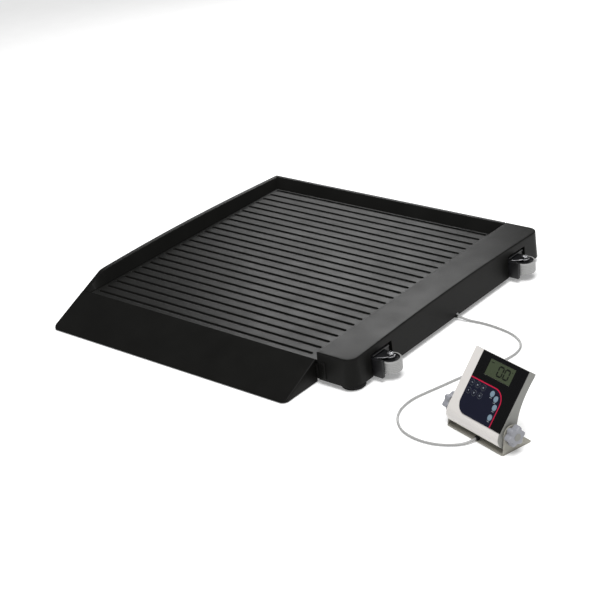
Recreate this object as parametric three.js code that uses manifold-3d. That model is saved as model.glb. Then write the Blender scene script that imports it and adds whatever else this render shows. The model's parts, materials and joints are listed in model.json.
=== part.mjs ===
// Portable platform scale for weighing animals: a low ramped platform on four load cells, two transport
// rollers on its right side, and a tilting indicator on a small stand that a thin signal cable joins to it.
// Millimetres, +Z up, +X to the right along the ramp's front edge, +Y to the rear.
import * as THREE from "three";
import { mergeVertices } from "three/addons/utils/BufferGeometryUtils.js";
import Module from "manifold-3d";

const wasm = await Module();
wasm.setup();

// Driving dimensions of the platform. Its own corner is the ramp's front left one, on the floor.
const WIDTH = 850;
const DEPTH = 848;
const GAP = 0.3; // left between pieces that touch
const UNDERSIDE_Z = 9; // lower edge of the platform's walls
const TREAD = { top: 55.6, thick: 8.6, left: 28.3, right: 750.7, front: 112.3, rear: 814.2 };
const GROOVE = { count: 24, first: 130, pitch: 29.3, width: 7.5, deep: 3, left: 37, right: 720 };
const RAMP = { right: 742, rear: 112, edge: 5, floorGap: 2, wall: 5, pockets: 6 };
const RAIL = { corner: 80, arch: 12, topLeft: 4, topRight: 13, kinkY: 165 };
const HOUSING = { left: 751, front: 106, wall: 4, corner: 79, arch: 9, round: 28 };
const TUBE = { wide: 40, bottom: 16, top: TREAD.top - TREAD.thick - GAP, wall: 2.5 };
const FOOT = { radius: 27, height: 8.6, stud: 6 };
const CELL = { wide: 24, high: 18, long: 110, bottom: 22 };
const FEET = { left: 50, right: 820, front: 140, rear: 798 };
const RECESS = { back: 842, ahead: 38, behind: 34, top: 63, boss: 833, rim: 4, bossTop: 68 }; // at a roller
const BRACKET = { ahead: 36, behind: 30, bottom: 11, top: 56, plate: 2.2, cheek: 8.5, arm: 3.5, nose: 11 };
const CABLE_HOLE = { half: 8, top: 18 };
const TUBES = { front: 122, rear: 813, frontBar: 126, middleBar: 455, rearBar: 772 }; // places along Y
const ROLLER = { radius: 25, wide: 30, bottom: 17, outX: 871, bore: 4.4, places: { front: 210, rear: 742 } };
const HANDLE = { y: 450, long: 140, outX: -36, z: 44, radius: 9 };
const CABLE = { diameter: 5.5, sides: 8, steps: 72, exitY: 488, exitZ: 9.5 };

// Driving dimensions of the indicator, in its own frame: +X along its width, +Y to its rear.
const STAND = { x: 1090, y: 101, turn: -15, wide: 168, deep: 76, plate: 2.5 };
const TILT = { y: 26, z: 40 }; // axis of the tilt and of the clamp knobs
const BODY = { left: 5, right: 163, skin: 3, rollY: 20.5, rollZ: 31.7, roll: 24, slope: 50.4, face: 135 };
const PANEL = { left: 30, right: 162, top: 134, bottom: 1, thick: 1.2, round: 26 };
const WINDOW = { left: 28, right: 100.5, top: 9.3, bottom: 43.3, thick: 1, lip: 3, module: 5 };
const KEY = { radius: 5.8, oval: 6.4, low: 0.9, high: 2, clearance: 0.4 };
const ROUND_KEYS = { across: [10, 26, 43], down: [68.5, 86] };
const ICON_KEYS = [[71, 71], [85, 77.5], [91, 93.5], [91, 114.5]];
const BACK = { bendY: 43.5, bendZ: 80, topDeep: 19.5 }; // the quadratic curve of the housing's hollow back
const DOOR = { left: 50, right: 118, front: 38, rear: 60, bottom: 34, top: 66 };
const BOARD = { left: -13, right: 125, top: 6, bottom: 112, thick: 1.6 };
const BATTERY = { left: 38, right: 132, ahead: 9, behind: 14, below: 13, above: 11 };
const GROMMET = { left: 83, right: 94, front: 0.9, rear: 8, top: 7, radius: 4.2, z: 6.2 };
const PIVOT = { hole: 5, shank: 4.5, boss: 9, washer: 13, eye: 19 }; // radii round the tilt axis
const KNOB = { radius: 22, lobes: 6, long: 17 };

// Middle of the box round everything but the cable, so that the row's origin is under the object's middle.
const MIDDLE = { x: 618.8, y: 424 };

const FINISH = {
  platform: [0x17181a, 0.55, 0],
  rubber: [0x101011, 0.85, 0],
  steel: [0x8d9092, 0.4, 0.8],
  cell: [0xb9bcc0, 0.35, 0.9],
  bracket: [0x1b1c1e, 0.5, 0.3],
  tyre: [0xa9abab, 0.5, 0],
  white: [0xe4e1dc, 0.45, 0],
  grey: [0x9b9b94, 0.5, 0],
  stand: [0x8f8d84, 0.45, 0.4],
  panel: [0x0b0c10, 0.25, 0],
  glass: [0x5f6b4a, 0.15, 0],
  board: [0x1d5a34, 0.6, 0],
  key: [0x9fb4c6, 0.4, 0],
  darkKey: [0x1c2230, 0.4, 0],
  knob: [0xa3a6ad, 0.5, 0],
  cable: [0xc4c5c6, 0.5, 0],
};

function solid(geometry) {
  const bare = geometry.clone();
  bare.deleteAttribute("normal");
  bare.deleteAttribute("uv");
  const merged = mergeVertices(bare, 1e-4);
  return new wasm.Manifold(
    new wasm.Mesh({
      numProp: 3,
      vertProperties: merged.attributes.position.array,
      triVerts: new Uint32Array(merged.index.array),
    }),
  );
}

function geometryOf(shape) {
  if (shape.isBufferGeometry) return shape;
  const mesh = shape.getMesh();
  const geometry = new THREE.BufferGeometry();
  geometry.setAttribute("position", new THREE.BufferAttribute(mesh.vertProperties, 3));
  geometry.setIndex(new THREE.BufferAttribute(mesh.triVerts, 1));
  return geometry;
}

const cut = (shape, ...tools) => tools.reduce((left, tool) => left.subtract(tool), shape);
const join = (first, ...others) => others.reduce((sum, other) => sum.add(other), first);

const box = (x0, x1, y0, y1, z0, z1) =>
  solid(
    new THREE.BoxGeometry(x1 - x0, y1 - y0, z1 - z0).translate((x0 + x1) / 2, (y0 + y1) / 2, (z0 + z1) / 2),
  );

const OUTLINE_TO_YZ = new THREE.Matrix4().set(0, 0, 1, 0, 1, 0, 0, 0, 0, 1, 0, 0, 0, 0, 0, 1);

// A flat outline of [a, b] points or a THREE.Shape, carried straight along one axis from low to high.
function prism(outline, axis, low, high, curveSegments = 8) {
  const points = (pairs) => pairs.map(([a, b]) => new THREE.Vector2(a, b));
  const shape = outline instanceof THREE.Shape ? outline : new THREE.Shape(points(outline));
  const geometry = new THREE.ExtrudeGeometry(shape, { depth: high - low, bevelEnabled: false, curveSegments });
  geometry.translate(0, 0, low);
  if (axis === "x") geometry.applyMatrix4(OUTLINE_TO_YZ);
  if (axis === "y") geometry.rotateX(Math.PI / 2).scale(1, -1, 1);
  if (axis === "y") geometry.setIndex(turned(geometry));
  return solid(geometry);
}

// Triangle corners in the opposite order, for a geometry that a mirroring has turned inside out.
function turned(geometry) {
  const corners = [];
  for (let i = 0; i < geometry.attributes.position.count; i += 3) corners.push(i, i + 2, i + 1);
  return corners;
}

// A round bar about an axis through (x, y, z), from low to high along that axis.
function rod(axis, radius, centre, low, high, sides = 24, topRadius = radius) {
  const geometry = new THREE.CylinderGeometry(topRadius, radius, high - low, sides);
  geometry.translate(0, (low + high) / 2, 0);
  if (axis === "x") geometry.rotateZ(-Math.PI / 2).translate(0, centre[0], centre[1]);
  if (axis === "y") geometry.translate(centre[0], 0, centre[1]);
  if (axis === "z") geometry.rotateX(Math.PI / 2).translate(centre[0], centre[1], 0);
  return solid(geometry);
}

const platform = new THREE.Group();
const stand = new THREE.Group();
const part = new THREE.Group();

function add(group, name, shape, finish) {
  const [color, roughness, metalness] = FINISH[finish];
  const mesh = new THREE.Mesh(
    geometryOf(shape),
    new THREE.MeshStandardMaterial({ color, roughness, metalness }),
  );
  mesh.name = name;
  group.add(mesh);
}

// Platform -------------------------------------------------------------------------------------------

function treadPlate() {
  const slot = new THREE.Shape();
  const r = GROOVE.width / 2;
  slot.absarc(GROOVE.right - r, 0, r, -Math.PI / 2, Math.PI / 2);
  slot.absarc(GROOVE.left + r, 0, r, Math.PI / 2, -Math.PI / 2);
  const cutter = prism(slot, "z", TREAD.top - GROOVE.deep, TREAD.top + 1, 4);
  let plate = box(TREAD.left, TREAD.right, TREAD.front, TREAD.rear, TREAD.top - TREAD.thick, TREAD.top);
  for (let i = 0; i < GROOVE.count; i += 1)
    plate = plate.subtract(cutter.translate([0, GROOVE.first + i * GROOVE.pitch, 0]));
  return plate;
}

const rampSlope = (TREAD.top - RAMP.edge) / RAMP.rear;

// A wedge with a row of pockets underneath that leave ribs between them.
function ramp() {
  const side = [[0, RAMP.floorGap], [RAMP.rear, RAMP.floorGap], [RAMP.rear, TREAD.top], [0, RAMP.edge]];
  const pitch = (RAMP.right - RAMP.wall) / RAMP.pockets;
  const front = 30;
  const rear = RAMP.rear - RAMP.wall;
  const roof = (y) => RAMP.edge + rampSlope * y - RAMP.wall;
  const pocket = [[front, 0], [rear, 0], [rear, roof(rear)], [front, roof(front)]];
  let wedge = prism(side, "x", 0, RAMP.right);
  for (let i = 0; i < RAMP.pockets; i += 1)
    wedge = wedge.subtract(prism(pocket, "x", RAMP.wall + i * pitch, (i + 1) * pitch));
  return wedge;
}

// Outline in the YZ plane that rises from z = corner at both ends by a half sine of height arch.
function archOutline(front, rear, bottom, corner, arch, steps = 16) {
  const top = Array.from({ length: steps + 1 }, (_, i) => {
    const share = i / steps;
    return [rear + (front - rear) * share, corner + arch * Math.sin(Math.PI * share)];
  });
  return [[front, bottom], [rear, bottom], ...top];
}

function leftRail() {
  const tall = RAIL.corner + RAIL.arch + 4;
  const section = [
    [0, UNDERSIDE_Z], [28, UNDERSIDE_Z], [28, TREAD.top], [RAIL.topRight, RAIL.corner],
    [RAIL.topRight, tall], [0, tall],
  ];
  const start = RAMP.rear + GAP;
  const sloped = [[start, 0], [DEPTH, 0], [DEPTH, tall], [RAIL.kinkY, RAMP.edge + rampSlope * RAIL.kinkY],
    [start, RAMP.edge + rampSlope * start]];
  return prism(section, "y", start, DEPTH)
    .intersect(prism(archOutline(0, DEPTH, 0, RAIL.corner, RAIL.arch), "x", -1, 29))
    .intersect(prism(sloped, "x", -1, 29));
}

function rearRail() {
  const inner = TREAD.rear + GAP;
  const section = [
    [inner, UNDERSIDE_Z], [DEPTH, UNDERSIDE_Z], [DEPTH, RAIL.corner - 1], [DEPTH - 3, RAIL.corner],
    [DEPTH - 12, RAIL.corner], [inner, TREAD.top],
  ];
  return prism(section, "x", 28 + GAP, HOUSING.left - GAP);
}

// Plan of the side housing, inset by a wall: square corners beside the tread, round ones outside.
function housingPlan(inset) {
  const [x0, x1] = [HOUSING.left + inset, WIDTH - inset];
  const [y0, y1] = [HOUSING.front + inset, DEPTH - inset];
  const r = HOUSING.round - inset;
  const plan = new THREE.Shape();
  plan.moveTo(x0, y0);
  plan.lineTo(x1 - r, y0);
  plan.absarc(x1 - r, y0 + r, r, -Math.PI / 2, 0);
  plan.absarc(x1 - r, y1 - r, r, 0, Math.PI / 2);
  plan.lineTo(x0, y1);
  return plan;
}

function sideHousing() {
  const { left, front, wall, corner, arch } = HOUSING;
  const crown = (drop) =>
    prism(archOutline(front, DEPTH, -1, corner - drop, arch), "x", left - 1, WIDTH + 1);
  const outer = prism(housingPlan(0), "z", UNDERSIDE_Z, corner + arch + 1).intersect(crown(0));
  const hollow = prism(housingPlan(wall), "z", 0, corner + arch).intersect(crown(wall));
  const places = Object.values(ROLLER.places);
  const { back, boss, ahead, behind, rim, top, bossTop } = RECESS;
  const [bossFront, bossRear] = [ahead + rim, behind + rim];
  const bosses = places.map((y) =>
    box(boss, WIDTH - 2, y - bossFront, y + bossRear, UNDERSIDE_Z, bossTop),
  );
  const recesses = places.map((y) => box(back, WIDTH + 1, y - ahead, y + behind, 0, top));
  const passage = box(left - 1, left + wall + 0.1, front + wall, DEPTH - wall, 0, TREAD.top);
  const [holeFront, holeRear] = [CABLE.exitY - CABLE_HOLE.half, CABLE.exitY + CABLE_HOLE.half];
  const cableHole = box(WIDTH - wall - 1, WIDTH + 1, holeFront, holeRear, 0, CABLE_HOLE.top);
  return cut(join(cut(outer, hollow), ...bosses), ...recesses, passage, cableHole);
}

// A rectangular steel tube, open at both ends, along X or Y.
function tube(axis, low, high, side) {
  const { wide, bottom, top, wall } = TUBE;
  const section = (inset) => [
    [side + inset, bottom + inset], [side + wide - inset, bottom + inset],
    [side + wide - inset, top - inset], [side + inset, top - inset],
  ];
  return prism(section(0), axis, low, high).subtract(prism(section(wall), axis, low - 1, high + 1));
}

// A bending-beam load cell along Y: a bar with two joined round holes through it, over its foot at one end.
function loadCell(x, footY, inward) {
  const start = inward > 0 ? footY - 15 : footY + 15 - CELL.long;
  const middle = start + CELL.long / 2;
  const z = CELL.bottom + CELL.high / 2;
  const half = CELL.wide / 2;
  const bar = box(x - half, x + half, start, start + CELL.long, CELL.bottom, CELL.bottom + CELL.high);
  const through = [x - CELL.wide, x + CELL.wide];
  return cut(
    bar,
    rod("x", 5.5, [middle - 12, z], ...through, 16),
    rod("x", 5.5, [middle + 12, z], ...through, 16),
    box(...through, middle - 12, middle + 12, z - 2, z + 2),
  );
}

function footPad(x, y) {
  const { radius, height } = FOOT;
  const profile = [
    [0, 0], [radius - 2, 0], [radius, 2],
    [radius, height - 3], [radius - 3, height], [0, height],
  ];
  const pad = new THREE.LatheGeometry(profile.map(([r, z]) => new THREE.Vector2(r, z)), 24);
  return solid(pad.rotateX(Math.PI / 2).translate(x, y, 0));
}

function footStud(x, y) {
  const low = FOOT.height + GAP;
  return join(
    rod("z", FOOT.stud, [x, y], low, CELL.bottom - GAP, 16),
    rod("z", 11, [x, y], low, low + 5, 6),
  );
}

function rollerBracket(y) {
  const { ahead, behind, bottom, top, plate, cheek, arm, nose } = BRACKET;
  const backX = RECESS.back + 0.5 + GAP;
  const armTop = ROLLER.bottom + ROLLER.wide + 6;
  const back = box(backX, backX + plate, y - ahead, y + behind, bottom, top);
  const draft = [[backX, bottom], [ROLLER.outX + 1, bottom], [ROLLER.outX + 3, armTop], [backX, armTop]];
  const shield = prism(draft, "y", y - ahead, y - ahead + cheek);
  const plan = new THREE.Shape();
  plan.moveTo(backX, y + nose + 3);
  plan.lineTo(backX, y - ahead + 6);
  plan.lineTo(ROLLER.outX, y - ahead + 6);
  plan.absarc(ROLLER.outX, y, nose, -Math.PI / 2, Math.PI / 2);
  const arms = [prism(plan, "z", armTop - arm, armTop), prism(plan, "z", bottom, bottom + arm)];
  const hole = rod("z", ROLLER.bore - 0.2, [ROLLER.outX, y], 0, armTop + 1, 16);
  return cut(join(back, shield, ...arms), hole);
}

function rollerWheel(y) {
  const { radius, wide, bottom, outX, bore } = ROLLER;
  const profile = [
    [bore, 0], [8, 0], [9, 2], [radius - 4, 2], [radius - 2, 0], [radius, 3],
    [radius, wide - 3], [radius - 2, wide], [radius - 4, wide - 2],
    [9, wide - 2], [8, wide], [bore, wide], [bore, 0],
  ];
  const wheel = new THREE.LatheGeometry(profile.map(([r, z]) => new THREE.Vector2(r, z)), 28);
  return solid(wheel.rotateX(Math.PI / 2).translate(outX, y, bottom));
}

function rollerBolt(y) {
  const top = ROLLER.bottom + ROLLER.wide + 6 + GAP;
  return join(
    rod("z", 3.9, [ROLLER.outX, y], 9.5, top + 1, 16),
    rod("z", 7.5, [ROLLER.outX, y], top, top + 5, 6),
  );
}

function carryHandle() {
  const { y, long, outX, z, radius } = HANDLE;
  const post = (at) => box(outX, -GAP, at - 8, at + 8, z - 9, z + 9);
  const half = long / 2;
  return join(
    rod("y", radius, [outX, z], y - half, y + half, 20),
    post(y - half + 8),
    post(y + half - 8),
  );
}

function buildPlatform() {
  add(platform, "tread_plate", treadPlate(), "platform");
  add(platform, "ramp", ramp(), "platform");
  add(platform, "left_rail", leftRail(), "platform");
  add(platform, "rear_rail", rearRail(), "platform");
  add(platform, "side_housing", sideHousing(), "platform");
  const leftTube = FEET.left + CELL.wide / 2 + GAP;
  const rightTube = FEET.right - CELL.wide / 2 - GAP - TUBE.wide;
  const across = [leftTube + TUBE.wide + GAP, rightTube - GAP];
  const { front, rear, frontBar, middleBar, rearBar } = TUBES;
  add(platform, "frame_left", tube("y", front, rear, leftTube), "steel");
  add(platform, "frame_right", tube("y", front, rear, rightTube), "steel");
  add(platform, "frame_front", tube("x", ...across, frontBar), "steel");
  add(platform, "frame_middle", tube("x", ...across, middleBar), "steel");
  add(platform, "frame_rear", tube("x", ...across, rearBar), "steel");
  for (const side of ["left", "right"])
    for (const end of ["front", "rear"]) {
      const [x, y] = [FEET[side], FEET[end]];
      add(platform, `load_cell_${end}_${side}`, loadCell(x, y, end === "front" ? 1 : -1), "cell");
      add(platform, `foot_stud_${end}_${side}`, footStud(x, y), "steel");
      add(platform, `foot_pad_${end}_${side}`, footPad(x, y), "rubber");
    }
  for (const [end, y] of Object.entries(ROLLER.places)) {
    add(platform, `roller_bracket_${end}`, rollerBracket(y), "bracket");
    add(platform, `roller_bolt_${end}`, rollerBolt(y), "steel");
    add(platform, `roller_wheel_${end}`, rollerWheel(y), "tyre");
  }
  add(platform, "carry_handle", carryHandle(), "platform");
}

// Signal cable ---------------------------------------------------------------------------------------

const JUNCTION = { x0: 808, x1: 828, half: 33, bottom: 3, top: 34, lid: 3 };
const BOOT = { start: 836.3, end: 851, wide: 5, narrow: 3.5 };

// Centre line of the cable from the boot at the platform's wall to the grommet on the indicator's stand.
const ROUTE = [
  [851.3, 488, 9.5], [860, 488.4, 8.6], [870, 490, 6.3], [881, 492.3, 4], [893, 494.3, 3], [910, 495.5, 3],
  [936, 495, 3], [966, 491, 3], [994, 484.5, 3], [1018, 473.5, 3], [1037, 458, 3], [1049.5, 438, 3],
  [1054.5, 414, 3], [1052, 388, 3], [1044, 362, 3], [1031, 329, 3], [1017, 294, 3], [1004.5, 258, 3],
  [993, 221, 3], [982, 187, 3], [973, 156, 3], [970.5, 127, 3], [975, 99, 3], [987, 73, 3], [1006, 51, 3],
  [1029, 35, 3], [1055, 26.5, 3], [1082, 23.5, 3], [1108, 26, 3], [1131, 33.5, 3], [1150, 44, 3.2],
  [1163, 54.5, 4], [1171, 65.5, 5.2], [1174.3, 74, 5.9], [1175.5, 78.4, 6],
];

function signalCable() {
  const path = new THREE.CatmullRomCurve3(ROUTE.map((p) => new THREE.Vector3(...p)));
  const ring = new THREE.Shape();
  ring.absarc(0, 0, CABLE.diameter / 2, 0, 2 * Math.PI);
  const section = new THREE.Shape(ring.getSpacedPoints(CABLE.sides).slice(0, -1));
  return new THREE.ExtrudeGeometry(section, { steps: CABLE.steps, extrudePath: path });
}

function buildCable() {
  const { x0, x1, half, bottom, top, lid } = JUNCTION;
  const y = CABLE.exitY;
  const z = CABLE.exitZ;
  const hollow = box(x0 + 2, x1 - 2, y - half + 2, y + half - 2, bottom + 2, top + 1);
  add(platform, "junction_box", cut(box(x0, x1, y - half, y + half, bottom, top), hollow), "grey");
  add(platform, "junction_lid", box(x0, x1, y - half, y + half, top + GAP, top + lid), "grey");
  const gland = join(
    rod("x", 6.4, [y, z], x1 + GAP, x1 + 3, 20),
    rod("x", 6.2, [y, z], x1 + 2, BOOT.start - GAP, 6),
  );
  add(platform, "cable_gland", gland, "steel");
  add(platform, "gland_boot", rod("x", BOOT.wide, [y, z], BOOT.start, BOOT.end, 20, BOOT.narrow), "rubber");
  add(platform, "signal_cable", signalCable(), "cable");
}

// Indicator ------------------------------------------------------------------------------------------

const slope = THREE.MathUtils.degToRad(BODY.slope);
const along = [Math.cos(slope), Math.sin(slope)]; // up the sloping face, as [y, z]
const inward = [Math.sin(slope), -Math.cos(slope)]; // into the housing from the face
const faceFoot = [BODY.rollY - BODY.roll * inward[0], BODY.rollZ - BODY.roll * inward[1]];

// The point [y, z] at a distance s up the face from its foot and h out from it.
const onFace = (s, h) => [
  faceFoot[0] + s * along[0] - h * inward[0],
  faceFoot[1] + s * along[1] - h * inward[1],
];

// Points of the front roll's arc between two angles in degrees, inset by a wall.
function rollArc(inset, from, to, steps) {
  return Array.from({ length: steps + 1 }, (_, i) => {
    const angle = THREE.MathUtils.degToRad(from + ((to - from) * i) / steps);
    const r = BODY.roll - inset;
    return [BODY.rollY + r * Math.cos(angle), BODY.rollZ + r * Math.sin(angle)];
  });
}

// The hollow back, from the roll's rear up to the top, a curve that bends in towards the face.
function backCurve(inset) {
  const start = rollArc(inset, 350, 350, 1)[0];
  const top = onFace(BODY.face - 2 - inset, inset - BACK.topDeep);
  const bend = [BACK.bendY - inset, BACK.bendZ];
  const curve = new THREE.QuadraticBezierCurve(
    new THREE.Vector2(...start), new THREE.Vector2(...bend), new THREE.Vector2(...top),
  );
  return curve.getPoints(8).map((p) => [p.x, p.y]);
}

const normalAngle = 90 + BODY.slope;

// Side outline of the whole housing, inset by a wall all round and by its own amount at the front.
const bodyOutline = (inset, frontInset) => [
  onFace(BODY.face - inset, -frontInset),
  ...rollArc(frontInset, normalAngle, 262, 10),
  ...rollArc(inset, 278, 350, 5),
  ...backCurve(inset).slice(1),
];

function frontShell() {
  const { skin, face, left, right } = BODY;
  const outline = [
    onFace(face, 0), ...rollArc(0, normalAngle, 264, 12),
    ...rollArc(skin, 264, normalAngle, 12), onFace(face, -skin),
  ];
  return cut(prism(outline, "x", left, right), windowPlate(-WINDOW.lip, -skin - 1, 1));
}

function rearShell() {
  const { skin, left, right } = BODY;
  const outer = prism(bodyOutline(0, skin + GAP), "x", left, right);
  const hollow = prism(bodyOutline(skin, skin - 1), "x", left + skin, right - skin);
  return cut(outer, hollow, doorSpace(0));
}

function doorSpace(inset) {
  const { left, right, front, rear, bottom, top } = DOOR;
  return box(left + inset, right - inset, front, rear, bottom + inset, top - inset);
}

// The battery door is the piece of the rear wall inside its frame, with a gap all round.
function batteryDoor() {
  const { skin, left, right } = BODY;
  const wall = prism(bodyOutline(0, skin + GAP), "x", left, right)
    .subtract(prism(bodyOutline(skin, skin - 1), "x", left + skin, right - skin));
  return wall.intersect(doorSpace(GAP));
}

// A block on the face: a and b are the distances across and down from the panel's top left corner.
function facePlate(a0, a1, b0, b1, low, high) {
  const corners = [
    onFace(PANEL.top - b1, low), onFace(PANEL.top - b0, low),
    onFace(PANEL.top - b0, high), onFace(PANEL.top - b1, high),
  ];
  return prism(corners, "x", PANEL.left + a0, PANEL.left + a1);
}

// A block the size of the display window, grown all round, between two heights off the face.
function windowPlate(grow, low, high) {
  const { left, right, top, bottom } = WINDOW;
  return facePlate(left - grow, right + grow, top - grow, bottom + grow, low, high);
}

// A flat outline in the panel's own [across, down] directions, raised along the face's normal.
function faceOutline(shape, low, high) {
  const geometry = new THREE.ExtrudeGeometry(shape, { depth: high - low, bevelEnabled: false, curveSegments: 10 });
  const [y, z] = onFace(PANEL.top, low);
  geometry.rotateX(slope).translate(PANEL.left, y, z);
  return solid(geometry);
}

function keyShape(a, b, rx, ry) {
  const shape = new THREE.Shape();
  shape.absellipse(a, -b, rx, ry, 0, 2 * Math.PI);
  return shape;
}

const keyAt = (name, a, b, ry) => ({ name, a, b, rx: KEY.radius, ry });
const roundCentres = ROUND_KEYS.down.flatMap((b) => ROUND_KEYS.across.map((a) => [a, b]));
const KEYS = [
  ...roundCentres.map(([a, b], i) => keyAt(`key_${i + 1}`, a, b, KEY.radius)),
  ...ICON_KEYS.map(([a, b], i) => keyAt(`function_key_${i + 1}`, a, b, KEY.oval)),
];

function overlayPanel() {
  const width = PANEL.right - PANEL.left;
  const height = PANEL.top - PANEL.bottom;
  const outline = new THREE.Shape();
  outline.moveTo(0, 0);
  outline.lineTo(width, 0);
  outline.lineTo(width, -height);
  outline.lineTo(PANEL.round, -height);
  outline.absarc(PANEL.round, -height + PANEL.round, PANEL.round, -Math.PI / 2, -Math.PI, true);
  const plate = faceOutline(outline, GAP, GAP + PANEL.thick);
  const holes = KEYS.map(({ a, b, rx, ry }) =>
    faceOutline(keyShape(a, b, rx + KEY.clearance, ry + KEY.clearance), 0, 4),
  );
  return cut(plate, ...holes, windowPlate(GAP, 0, 4));
}

function standSide(x0) {
  const { deep, plate } = STAND;
  const base = plate + GAP;
  const outline = new THREE.Shape();
  outline.moveTo(2, base);
  outline.lineTo(deep - 16, base);
  outline.lineTo(TILT.y + PIVOT.eye, TILT.z);
  outline.absarc(TILT.y, TILT.z, PIVOT.eye, 0, Math.PI);
  const hole = rod("x", PIVOT.hole, [TILT.y, TILT.z], x0 - 1, x0 + plate + 1, 20);
  return prism(outline, "x", x0, x0 + plate).subtract(hole);
}

// A star knob with a shank that reaches through the stand into the housing's end wall.
function tiltKnob(side) {
  const star = new THREE.Shape();
  const steps = 72;
  for (let i = 0; i < steps; i += 1) {
    const angle = (2 * Math.PI * i) / steps;
    const r = KNOB.radius - 3 + 3 * Math.cos(KNOB.lobes * angle);
    const point = [TILT.y + r * Math.cos(angle), TILT.z + r * Math.sin(angle)];
    if (i === 0) star.moveTo(...point);
    else star.lineTo(...point);
  }
  const outside = side > 0 ? STAND.wide + 1 : -1 - KNOB.long;
  const shank = side > 0 ? [BODY.right + GAP, STAND.wide + 2] : [-2, BODY.left - GAP];
  const boss = side > 0 ? [outside + KNOB.long - 1, outside + KNOB.long + 4] : [outside - 4, outside + 1];
  return join(
    prism(star, "x", outside, outside + KNOB.long),
    rod("x", PIVOT.shank, [TILT.y, TILT.z], ...shank, 20),
    rod("x", PIVOT.boss, [TILT.y, TILT.z], ...boss, 20),
  );
}

function frictionWasher(x0, x1) {
  const centre = [TILT.y, TILT.z];
  const hole = rod("x", PIVOT.hole, centre, x0 - 1, x1 + 1, 20);
  return cut(rod("x", PIVOT.washer, centre, x0, x1, 28), hole);
}

function cableGrommet() {
  const { left, right, front, rear, top, radius, z } = GROMMET;
  const low = STAND.plate + GAP;
  const body = box(left, right, front, rear, low, top);
  const round = rod("y", radius, [(left + right) / 2, z], front, rear, 20);
  return cut(join(body, round), box(left - 1, right + 1, 0, rear + 1, 0, low));
}

function circuitBoard(front) {
  const { left, right, top, bottom, thick } = BOARD;
  return facePlate(left, right, top, bottom, front - thick, front);
}

function batteryPack() {
  const { left, right, ahead, behind, below, above } = BATTERY;
  return box(left, right, BODY.rollY - ahead, BODY.rollY + behind, BODY.rollZ - below, BODY.rollZ + above);
}

function buildIndicator() {
  const { wide, deep, plate } = STAND;
  add(stand, "stand_base", box(0, wide, 0, deep, 0, plate), "stand");
  add(stand, "stand_side_left", standSide(0), "stand");
  add(stand, "stand_side_right", standSide(wide - plate), "stand");
  add(stand, "cable_grommet", cableGrommet(), "rubber");
  add(stand, "front_shell", frontShell(), "white");
  add(stand, "rear_shell", rearShell(), "grey");
  add(stand, "battery_door", batteryDoor(), "grey");
  add(stand, "overlay_panel", overlayPanel(), "panel");
  add(stand, "display_window", windowPlate(0, GAP, GAP + WINDOW.thick), "glass");
  const behind = -BODY.skin - GAP;
  const moduleBack = behind - WINDOW.module;
  add(stand, "display_module", windowPlate(WINDOW.lip, moduleBack, behind), "glass");
  add(stand, "circuit_board", circuitBoard(moduleBack - GAP), "board");
  add(stand, "battery_pack", batteryPack(), "darkKey");
  for (const { name, a, b, rx, ry } of KEYS) {
    const dome = faceOutline(keyShape(a, b, rx, ry), KEY.low, KEY.high);
    add(stand, name, dome, rx === ry ? "darkKey" : "key");
  }
  add(stand, "tilt_washer_left", frictionWasher(plate + GAP, BODY.left - GAP), "rubber");
  add(stand, "tilt_washer_right", frictionWasher(BODY.right + GAP, wide - plate - GAP), "rubber");
  add(stand, "tilt_knob_left", tiltKnob(-1), "knob");
  add(stand, "tilt_knob_right", tiltKnob(1), "knob");
}

buildPlatform();
buildCable();
buildIndicator();
stand.position.set(STAND.x, STAND.y, 0);
stand.rotation.z = THREE.MathUtils.degToRad(STAND.turn);
part.add(platform, stand);
part.position.set(-MIDDLE.x, -MIDDLE.y, 0);

export default part;
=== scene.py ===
"""Builds the visible pieces of a ramped platform scale for animals and its indicator, round their frame.

Sizes are metres unless a name ends in _mm. Platform shapes are worked out in millimetres from the ramp's
front left corner and indicator shapes in millimetres from the front left corner of its stand.
"""

import json
import math

import bmesh
import bpy
import numpy as np
from bpy.props import FloatProperty, FloatVectorProperty, IntProperty, PointerProperty
from mathutils import Matrix, Vector


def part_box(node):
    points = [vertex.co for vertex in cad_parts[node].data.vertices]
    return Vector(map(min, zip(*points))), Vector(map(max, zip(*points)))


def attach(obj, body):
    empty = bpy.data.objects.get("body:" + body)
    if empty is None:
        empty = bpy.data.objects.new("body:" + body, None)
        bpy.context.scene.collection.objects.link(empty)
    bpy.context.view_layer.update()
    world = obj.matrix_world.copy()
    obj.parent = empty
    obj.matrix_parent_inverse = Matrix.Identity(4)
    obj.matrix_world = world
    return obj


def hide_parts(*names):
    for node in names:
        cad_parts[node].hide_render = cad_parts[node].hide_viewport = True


bl_info = {
    "name": "Animal Platform Scale",
    "version": (1, 0, 0),
    "blender": (4, 5, 0),
    "location": "View3D > Sidebar > Scale",
    "description": "Builds a ramped animal scale with rollers, cable and tilting indicator",
    "category": "Add Mesh",
}

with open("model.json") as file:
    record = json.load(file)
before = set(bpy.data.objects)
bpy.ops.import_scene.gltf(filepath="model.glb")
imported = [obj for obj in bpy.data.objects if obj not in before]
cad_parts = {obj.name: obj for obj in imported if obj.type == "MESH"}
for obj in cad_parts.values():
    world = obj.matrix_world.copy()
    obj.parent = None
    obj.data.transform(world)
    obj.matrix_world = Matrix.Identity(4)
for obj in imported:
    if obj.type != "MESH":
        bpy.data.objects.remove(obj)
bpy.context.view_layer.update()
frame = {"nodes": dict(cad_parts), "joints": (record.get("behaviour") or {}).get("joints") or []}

# Frames of reference ------------------------------------------------------------------------------------

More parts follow.
